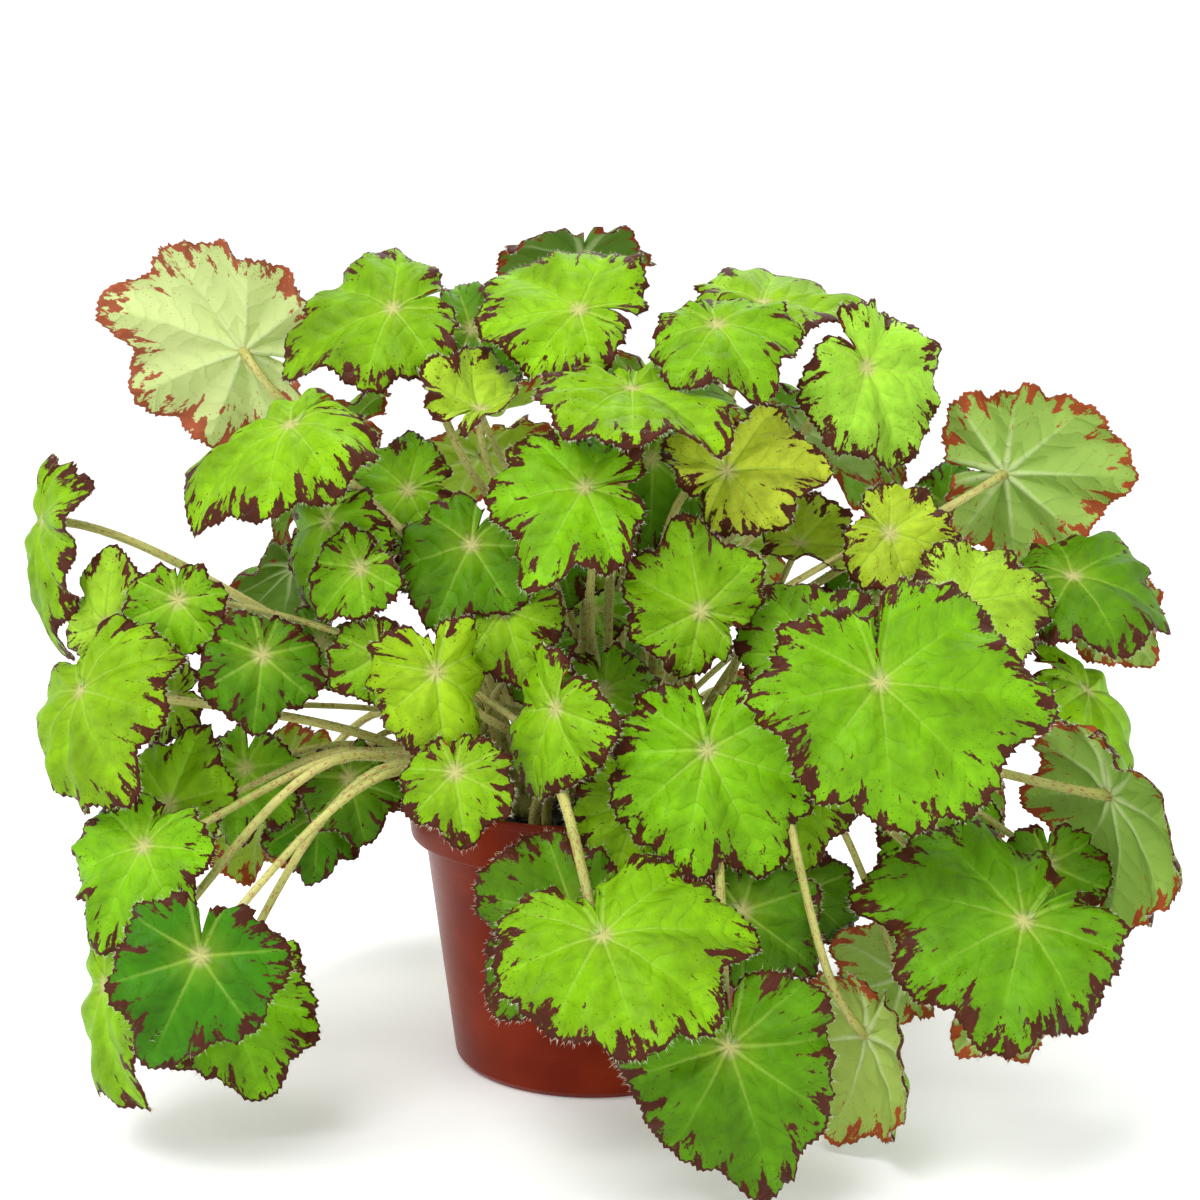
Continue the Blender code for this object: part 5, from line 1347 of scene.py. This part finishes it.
def blade_finish(name, look):
    """Leaf blade: satin green from the piece's own tint, pale veins and hub, brown ragged marks along the
    margin, paler and redder below, and some light let through."""
    material, tree, shader = new_finish(name)
    flat = add_node(tree, "ShaderNodeUVMap", uv_map="blade")
    arc_edge = add_node(tree, "ShaderNodeUVMap", uv_map="margin")
    tint = add_node(tree, "ShaderNodeAttribute", attribute_name="tint")
    share = add_node(tree, "ShaderNodeAttribute", output=3, attribute_name="tint")
    vein = add_node(tree, "ShaderNodeAttribute", output=2, attribute_name="vein")
    side = add_node(tree, "ShaderNodeAttribute", output=2, attribute_name="side")
    length = add_node(tree, "ShaderNodeVectorMath", {0: flat}, output=1, operation="LENGTH")
    radius = maths(tree, "MULTIPLY", length, MAP)
    edge = maths(tree, "MULTIPLY", add_node(tree, "ShaderNodeSeparateXYZ", {0: arc_edge}, output=1), MAP)
    marks = margin_marks(tree, arc_edge, edge, share, look)
    lines = vein_lines(tree, flat, radius, vein)
    cloud = noise(tree, flat, MAP / 16.0, 3.0, 0.55)
    mottle = noise(tree, flat, MAP / 2.2, 3.0, 0.6)
    brown, red = mark_colours(tree, arc_edge, look)

    upper = blend(tree, marks, upper_green(tree, tint, radius, lines, cloud, mottle), brown)
    below = lower_green(tree, tint, lines[0], cloud)
    lower = blend(tree, maths(tree, "MULTIPLY", marks, 0.88), below, red)
    colour = blend(tree, side, upper, lower)
    flip = maths(tree, "MULTIPLY_ADD", side, -2.0, 1.0)
    bumped(tree, shader, maths(tree, "MULTIPLY", blade_relief(tree, flat, lines), flip), 0.0007, 0.85)
    gloss = maths(tree, "MULTIPLY_ADD", mottle, 0.16, 0.36)
    gloss = maths(tree, "MULTIPLY_ADD", side, 0.14, gloss)
    tree.links.new(gloss, shader.inputs["Roughness"])
    tree.links.new(colour, shader.inputs["Base Color"])
    shader.inputs["Specular IOR Level"].default_value = 0.15
    let_through(tree, shader, colour, look.glow)
    return material


def stalk_finish(name):
    """Stalk: pale green cream with short red-brown flecks that run along it, satin."""
    material, tree, shader = new_finish(name)
    along = add_node(tree, "ShaderNodeUVMap", uv_map="blade")
    wide = noise(tree, stretched(tree, along, MAP / 30.0, MAP / 8.0), 1.0, 2.0, 0.5)
    flecks = noise(tree, stretched(tree, along, MAP / 1.7, MAP / 0.6), 1.0, 2.0, 0.5)
    flecks = step_up(tree, maths(tree, "MULTIPLY_ADD", wide, 0.22, flecks), 0.70, 0.76)
    base = blend(tree, step_up(tree, wide, 0.35, 0.65), shade("#C4C068"), shade("#98A444"))
    streak = noise(tree, stretched(tree, along, MAP / 40.0, MAP / 0.6), 1.0, 2.0, 0.5)
    base = blend(tree, maths(tree, "MULTIPLY", streak, 0.25), base, shade("#E6DE9C"))
    colour = blend(tree, maths(tree, "MULTIPLY", flecks, 0.8), base, shade("#A4512C"))
    tree.links.new(colour, shader.inputs["Base Color"])
    bumped(tree, shader, streak, 0.0003, 0.5)
    rough = maths(tree, "MULTIPLY_ADD", wide, 0.2, 0.38)
    tree.links.new(rough, shader.inputs["Roughness"])
    return material


def stem_finish(name):
    """Rhizome: green brown, fleshy, with darker scars around it."""
    material, tree, shader = new_finish(name)
    along = add_node(tree, "ShaderNodeUVMap", uv_map="blade")
    place = add_node(tree, "ShaderNodeTexCoord", output=3)
    cloud = noise(tree, place, 1 / 0.006, 3.0, 0.6, flat=False)
    run = maths(tree, "MULTIPLY", add_node(tree, "ShaderNodeSeparateXYZ", {0: along}), MAP / SHOOT_SPACING)
    off = maths(tree, "ABSOLUTE", maths(tree, "SUBTRACT", maths(tree, "FRACT", run), 0.5))
    scar = step_up(tree, off, 0.4, 0.5)
    colour = blend(tree, cloud, shade("#7E8C3A"), shade("#A08A4C"))
    colour = blend(tree, maths(tree, "MULTIPLY", scar, 0.6), colour, shade("#6A4024"))
    tree.links.new(colour, shader.inputs["Base Color"])
    bumped(tree, shader, cloud, 0.0005, 0.6)
    tree.links.new(maths(tree, "MULTIPLY_ADD", cloud, 0.25, 0.45), shader.inputs["Roughness"])
    return material


def hair_finish(name):
    """Fine plant hairs, off white and dull, a little darker here and there."""
    material, tree, shader = new_finish(name)
    place = add_node(tree, "ShaderNodeTexCoord", output=3)
    cloud = noise(tree, place, 1 / 0.012, 1.0, 0.5, flat=False)
    colour = blend(tree, cloud, shade("#F4F1DE"), shade("#D9D4B0"))
    tree.links.new(colour, shader.inputs["Base Color"])
    shader.inputs["Roughness"].default_value = 0.7
    return material


def pot_finish(name, look):
    """Moulded plastic pot in brick red, satin, with faint speckle, dust and fine scuffs."""
    material, tree, shader = new_finish(name)
    place = add_node(tree, "ShaderNodeTexCoord", output=3)
    cloud = noise(tree, place, 1 / 0.030, 3.0, 0.55, flat=False)
    speck = noise(tree, place, 1 / 0.0011, 1.0, 0.5, flat=False)
    level = add_node(tree, "ShaderNodeVectorMath", {0: place, 1: (1.0, 1.0, 6.0)}, operation="MULTIPLY")
    scuff = noise(tree, level, 1 / 0.010, 4.0, 0.7, flat=False)
    colour = blend(tree, step_up(tree, cloud, 0.3, 0.7), (*look.dark, 1.0), (*look.light, 1.0))
    rubbed = maths(tree, "MULTIPLY", step_up(tree, scuff, 0.55, 0.75), 0.12)
    colour = blend(tree, rubbed, colour, shade("#A8502C"))
    dark = maths(tree, "MULTIPLY", step_up(tree, speck, 0.70, 0.76), 0.5)
    colour = blend(tree, dark, colour, shade("#4A150C"))
    tree.links.new(colour, shader.inputs["Base Color"])
    bumped(tree, shader, maths(tree, "MULTIPLY_ADD", speck, 0.3, cloud), 0.0002, 0.25)
    tree.links.new(maths(tree, "MULTIPLY_ADD", scuff, 0.16, 0.24), shader.inputs["Roughness"])
    shader.inputs["Specular IOR Level"].default_value = 0.1
    return material


def soil_finish(name):
    """Moist peat: nearly black with brown fibres and a few pale grains."""
    material, tree, shader = new_finish(name)
    place = add_node(tree, "ShaderNodeTexCoord", output=3)
    cloud = noise(tree, place, 1 / 0.004, 4.0, 0.7, flat=False)
    grain = noise(tree, place, 1 / 0.0012, 2.0, 0.6, flat=False)
    colour = blend(tree, step_up(tree, cloud, 0.35, 0.68), shade("#15100C"), shade("#3A2A1E"))
    pale = maths(tree, "MULTIPLY", step_up(tree, grain, 0.68, 0.74), 0.6)
    colour = blend(tree, pale, colour, shade("#6E5A44"))
    tree.links.new(colour, shader.inputs["Base Color"])
    bumped(tree, shader, maths(tree, "ADD", cloud, grain), 0.0009, 0.9)
    tree.links.new(maths(tree, "MULTIPLY_ADD", cloud, -0.2, 0.98), shader.inputs["Roughness"])
    return material


def floor_finish(name):
    """Plain pale floor, very slightly uneven in tone, that glows a little as a lit screen does."""
    material, tree, shader = new_finish(name)
    place = add_node(tree, "ShaderNodeTexCoord", output=3)
    cloud = noise(tree, place, 2.0, 2.0, 0.5, flat=False)
    tree.links.new(blend(tree, cloud, shade("#F4F4F4"), shade("#FAFAFA")), shader.inputs["Base Color"])
    shader.inputs["Roughness"].default_value = 0.8
    shader.inputs["Specular IOR Level"].default_value = 0.1
    shader.inputs["Emission Color"].default_value = shade("#FFFFFF")
    shader.inputs["Emission Strength"].default_value = 0.17
    return material


def shared_finish(name, make, *details):
    """A finish by its name, made at its first use."""
    return bpy.data.materials.get(name) or make(name, *details)


# Settings
class LeafLook(bpy.types.PropertyGroup):
    """Fine form and marks of the leaves. Lengths are in millimetres."""

    rows: bpy.props.IntProperty(name="Rows", description="Points from hub to margin", default=14, min=4)
    small_rows: bpy.props.IntProperty(
        name="Small rows", description="The same on small leaves", default=10, min=4)
    tooth_spacing: bpy.props.FloatProperty(
        name="Tooth spacing", description="Millimetres of margin per point", default=1.9)
    tooth_depth: bpy.props.FloatProperty(
        name="Tooth depth", description="Millimetres a tooth stands out", default=1.0)
    scallop_spacing: bpy.props.FloatProperty(
        name="Scallop spacing", description="Width of a scallop", default=7.0)
    scallop_depth: bpy.props.FloatProperty(
        name="Scallop depth", description="Depth against a tooth's", default=0.55)
    ripple: bpy.props.FloatProperty(
        name="Ripple", description="Height of the margin's ripple", default=0.95)
    blister: bpy.props.FloatProperty(
        name="Blister", description="Height of the low swellings of a blade", default=0.28)
    valley: bpy.props.FloatProperty(
        name="Valley", description="Depth of the soft dip along a main vein", default=0.8)
    crease: bpy.props.FloatProperty(
        name="Crease", description="Depth of the crease along a main vein", default=0.35)
    thickness: bpy.props.FloatProperty(
        name="Thickness", description="Thickness of a blade near its hub", default=0.6)
    under_vein: bpy.props.FloatProperty(
        name="Vein below", description="How far main veins stand out below", default=0.8)
    margin_hairs: bpy.props.FloatProperty(
        name="Margin hairs", description="Hairs per point of the margin", default=1.7)
    stalk_hairs: bpy.props.FloatProperty(
        name="Stalk hairs", description="Hairs per millimetre of stalk", default=1.3)
    hair_length: bpy.props.FloatProperty(name="Hair length", description="Longest hair", default=2.4)
    hair_radius: bpy.props.FloatProperty(
        name="Hair radius", description="Radius at a hair's foot", default=0.09)
    stalk_sides: bpy.props.IntProperty(
        name="Stalk sides", description="Points around a stalk", default=10, min=5)
    stalk_steps: bpy.props.IntProperty(
        name="Stalk steps", description="Rings along a stalk", default=26, min=8)
    stem_steps: bpy.props.IntProperty(
        name="Stem steps", description="Rings along a rhizome", default=60, min=8)
    stem_sides: bpy.props.IntProperty(
        name="Stem sides", description="Points around a rhizome", default=20, min=6)
    mid_green: bpy.props.FloatVectorProperty(
        name="Green", description="Most leaves", default=linear("#84B910"), subtype="COLOR")
    # Deep green is partly painted shade: in the front table it goes to leaves that sit deep in the plant,
    # where shade falls, and paints them darker; on the far side the tones are only given in turn
    deep_green: bpy.props.FloatVectorProperty(
        name="Deep green", description="Old leaves", default=linear("#588F0A"), subtype="COLOR")
    young_green: bpy.props.FloatVectorProperty(
        name="Young green", description="Young leaves", default=linear("#A8CA30"), subtype="COLOR")
    pale_green: bpy.props.FloatVectorProperty(
        name="Pale green", description="Undersides in view", default=linear("#B6D266"), subtype="COLOR")
    mark_dark: bpy.props.FloatVectorProperty(
        name="Dark marks", description="Darkest brown above", default=linear("#3A1E14"), subtype="COLOR")
    mark_light: bpy.props.FloatVectorProperty(
        name="Light marks", description="Lightest brown above",
        default=linear("#68301E"), subtype="COLOR")
    mark_deep_red: bpy.props.FloatVectorProperty(
        name="Deep red marks", description="Deepest red below",
        default=linear("#8A1E1A"), subtype="COLOR")
    mark_red: bpy.props.FloatVectorProperty(
        name="Red marks", description="Lightest red below", default=linear("#D83826"), subtype="COLOR")
    tint_spread: bpy.props.FloatProperty(
        name="Tint spread", description="How much leaves differ in green", default=0.12)
    glow: bpy.props.FloatProperty(
        name="Glow", description="Share of light let through a blade", default=0.28, subtype="FACTOR")
    mark_width: bpy.props.FloatProperty(
        name="Mark width", description="Width of a brown tongue", default=4.2)
    mark_length: bpy.props.FloatProperty(
        name="Mark length", description="Length of a brown tongue", default=10.0)
    mark_level: bpy.props.FloatProperty(
        name="Mark level", description="Noise level for marks at the margin", default=0.486)
    mark_spread: bpy.props.FloatProperty(
        name="Mark spread", description="How much leaves differ in marks", default=0.08)
    mark_fall: bpy.props.FloatProperty(
        name="Mark fall", description="Rise of that level per millimetre inwards", default=0.0150)


class PotLook(bpy.types.PropertyGroup):
    """Fine form of the pot. Lengths are in millimetres."""

    sides: bpy.props.IntProperty(name="Sides", description="Points around the pot", default=160, min=24)
    dark: bpy.props.FloatVectorProperty(
        name="Dark", description="Darker plastic", default=linear("#6A1A04"), subtype="COLOR")
    light: bpy.props.FloatVectorProperty(
        name="Light", description="Lighter plastic", default=linear("#802606"), subtype="COLOR")
    edge_radius: bpy.props.FloatProperty(
        name="Edge radius", description="Rounding of the pot's edges", default=0.7)


class SoilLook(bpy.types.PropertyGroup):
    """Fine form of the soil. Lengths are in millimetres."""

    sides: bpy.props.IntProperty(name="Sides", description="Points around the soil", default=150, min=24)
    rows: bpy.props.IntProperty(
        name="Rows", description="Rings from the wall to the middle", default=40, min=4)
    relief: bpy.props.FloatProperty(
        name="Relief", description="Height of the largest waves", default=0.9)
    crumbs: bpy.props.IntProperty(
        name="Crumbs", description="Loose lumps on the soil", default=700, min=0)


class StageLook(bpy.types.PropertyGroup):
    """Floor, lights and camera of the studio."""

    eye: bpy.props.FloatVectorProperty(
        name="Eye", description="Place of the camera", default=(0.0023, -0.7068, 0.2669), unit="LENGTH",
        subtype="TRANSLATION")
    pitch: bpy.props.FloatProperty(
        name="Pitch", description="How far the camera looks down", default=math.radians(8.64),
        subtype="ANGLE", unit="ROTATION")
    view: bpy.props.FloatProperty(
        name="View", description="Field of view", default=math.radians(31.89),
        subtype="ANGLE", unit="ROTATION")
    floor: bpy.props.FloatProperty(
        name="Floor", description="Radius of the flat floor", default=1.6, unit="LENGTH")
    wall: bpy.props.FloatProperty(
        name="Wall", description="Height of the wall", default=1.3, unit="LENGTH")
    world: bpy.props.FloatProperty(
        name="World", description="Strength of the light from all around", default=0.42)
    key: bpy.props.FloatProperty(
        name="Key", description="Power of the main light", default=21.0, unit="POWER")
    fill: bpy.props.FloatProperty(
        name="Fill", description="Power of the fill light", default=4.0, unit="POWER")
    rear: bpy.props.FloatProperty(
        name="Rear", description="Power of the light behind", default=13.0, unit="POWER")


# Operators
def leaf_finishes(look):
    """The finishes of a leaf piece, in the order of their numbers."""
    return [
        shared_finish("begonia_blade", blade_finish, look),
        shared_finish("begonia_stalk", stalk_finish),
        shared_finish("begonia_hair", hair_finish),
        shared_finish("begonia_rhizome", stem_finish),
    ]


class BEGONIA_OT_leaves(bpy.types.Operator):
    """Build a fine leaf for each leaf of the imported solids"""

    bl_idname = "begonia.leaves"
    bl_label = "Leaves"
    bl_options = {"REGISTER", "UNDO"}

    def execute(self, context):
        look = context.scene.begonia_leaves
        found = read_leaves()
        for node in sorted(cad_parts):
            if not node.startswith("leaf_"):
                continue
            if node not in found:
                raise RuntimeError(f"{node} matches no leaf of the plan")
            piece = build_leaf_piece(f"begonia_{node}", found[node], leaf_finishes(look), look)
            settle_piece(piece, node)
        return {"FINISHED"}


class BEGONIA_OT_rhizomes(bpy.types.Operator):
    """Build the creeping stems with the small leaves that spring from them"""

    bl_idname = "begonia.rhizomes"
    bl_label = "Rhizomes"
    bl_options = {"REGISTER", "UNDO"}

    def execute(self, context):
        look = context.scene.begonia_leaves
        found = read_leaves()
        for name in RHIZOME_LINES:
            node = f"rhizome_{name}"
            stem = rhizome_surface(name, look)
            piece = build_leaf_piece(f"begonia_{node}", found.get(node, []), leaf_finishes(look), look, stem)
            settle_piece(piece, node)
        return {"FINISHED"}


class BEGONIA_OT_pot(bpy.types.Operator):
    """Build the pot finely"""

    bl_idname = "begonia.pot"
    bl_label = "Pot"
    bl_options = {"REGISTER", "UNDO"}

    def execute(self, context):
        look = context.scene.begonia_pot
        finish = shared_finish("begonia_pot_plastic", pot_finish, look)
        settle_piece(build_pot_piece(finish, look), "pot")
        return {"FINISHED"}


class BEGONIA_OT_soil(bpy.types.Operator):
    """Build the soil with its broken surface"""

    bl_idname = "begonia.soil"
    bl_label = "Soil"
    bl_options = {"REGISTER", "UNDO"}

    def execute(self, context):
        finish = shared_finish("begonia_peat", soil_finish)
        settle_piece(build_soil_piece(finish, context.scene.begonia_soil), "soil")
        return {"FINISHED"}


class BEGONIA_OT_stage(bpy.types.Operator):
    """Set up the floor, the lights and the camera"""

    bl_idname = "begonia.stage"
    bl_label = "Studio"
    bl_options = {"REGISTER", "UNDO"}

    def execute(self, context):
        look = context.scene.begonia_stage
        build_floor(look)
        for name, place, size in LIGHTS:
            place_light(name, place, size, getattr(look, name))
        light_all_around(look)
        place_camera(look)
        context.scene.view_settings.view_transform = "Standard"
        return {"FINISHED"}


def settle_piece(piece, node):
    """Let a finished piece stand for its solid."""
    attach(piece, "root")
    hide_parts(node)


# Studio: place and width of each light, in metres
LIGHTS = (
    ("key", (-0.6, -0.75, 1.5), 1.0),
    ("fill", (1.1, -1.0, 0.6), 1.2),
    ("rear", (0.2, 0.8, 1.3), 1.2),
)
LIT_POINT = (0.0, 0.0, 0.15)
FLOOR_BEND = 0.6
FLOOR_SIDES = 96


def build_floor(look):
    """A round floor that turns up into a wall all around: a quarter circle joins the level line to the
    upright one, and the line is turned about the pot's axis."""
    turn = np.linspace(0, math.pi / 2, 12)
    line = [(look.floor + FLOOR_BEND * math.sin(t), FLOOR_BEND * (1 - math.cos(t))) for t in turn]
    line = [(0.5 * look.floor, 0.0)] + line + [(look.floor + FLOOR_BEND, look.wall)]
    rings = turned([(0.0, 0.0)] + line + [(0.0, 0.0)], FLOOR_SIDES) / MM
    points = np.vstack((rings.reshape(-1, 3), (0.0, 0.0, 0.0)))
    around = np.arange(FLOOR_SIDES)
    middle = np.stack((np.full(FLOOR_SIDES, len(points) - 1), around, (around + 1) % FLOOR_SIDES), -1)
    surface = Surface()
    surface.add(points, [grid_faces(len(line), FLOOR_SIDES, closed=True)[:, ::-1], middle], 0)
    surface.build("studio_floor", [shared_finish("studio_floor", floor_finish)])


def place_light(name, place, size, power):
    """A soft square light that faces the plant."""
    data = bpy.data.lights.new(name, "AREA")
    data.size = size
    data.energy = power
    lamp = bpy.data.objects.new(name, data)
    lamp.location = place
    lamp.rotation_euler = (Vector(LIT_POINT) - Vector(place)).to_track_quat("-Z", "Y").to_euler()
    bpy.context.scene.collection.objects.link(lamp)


def light_all_around(look):
    """Even white light from every side."""
    world = bpy.data.worlds.new("studio")
    world.use_nodes = True
    background = world.node_tree.nodes["Background"]
    background.inputs["Color"].default_value = (1.0, 1.0, 1.0, 1.0)
    background.inputs["Strength"].default_value = look.world
    bpy.context.scene.world = world


def place_camera(look):
    """The camera at the photo's eye point, tilted down a little."""
    data = bpy.data.cameras.new("view")
    data.angle = look.view
    data.clip_start = 0.01
    camera = bpy.data.objects.new("view", data)
    camera.location = look.eye
    camera.rotation_euler = (math.pi / 2 - look.pitch, 0.0, 0.0)
    bpy.context.scene.collection.objects.link(camera)
    bpy.context.scene.camera = camera


class BEGONIA_PT_panel(bpy.types.Panel):
    """Steps that build the plant"""

    bl_label = "Potted begonia"
    bl_idname = "BEGONIA_PT_panel"
    bl_space_type = "VIEW_3D"
    bl_region_type = "UI"
    bl_category = "Begonia"

    def draw(self, context):
        for step in ("pot", "soil", "rhizomes", "leaves", "stage"):
            self.layout.operator(f"begonia.{step}")
        for group in SETTINGS:
            look = getattr(context.scene, group)
            box = self.layout.box()
            box.label(text=look.bl_rna.name)
            for setting in look.bl_rna.properties:
                if setting.identifier not in ("name", "rna_type"):
                    box.prop(look, setting.identifier)


SETTINGS = {
    "begonia_leaves": LeafLook,
    "begonia_pot": PotLook,
    "begonia_soil": SoilLook,
    "begonia_stage": StageLook,
}
CLASSES = (
    *SETTINGS.values(),
    BEGONIA_OT_leaves,
    BEGONIA_OT_rhizomes,
    BEGONIA_OT_pot,
    BEGONIA_OT_soil,
    BEGONIA_OT_stage,
    BEGONIA_PT_panel,
)


def register():
    for kind in CLASSES:
        bpy.utils.register_class(kind)
    for name, kind in SETTINGS.items():
        setattr(bpy.types.Scene, name, bpy.props.PointerProperty(type=kind))


def unregister():
    for name in SETTINGS:
        delattr(bpy.types.Scene, name)
    for kind in reversed(CLASSES):
        bpy.utils.unregister_class(kind)


def main():
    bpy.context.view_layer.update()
    register()
    bpy.ops.begonia.pot()
    bpy.ops.begonia.soil()
    bpy.ops.begonia.rhizomes()
    bpy.ops.begonia.leaves()
    bpy.ops.begonia.stage()
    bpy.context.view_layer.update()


if __name__ == "__main__":
    main()
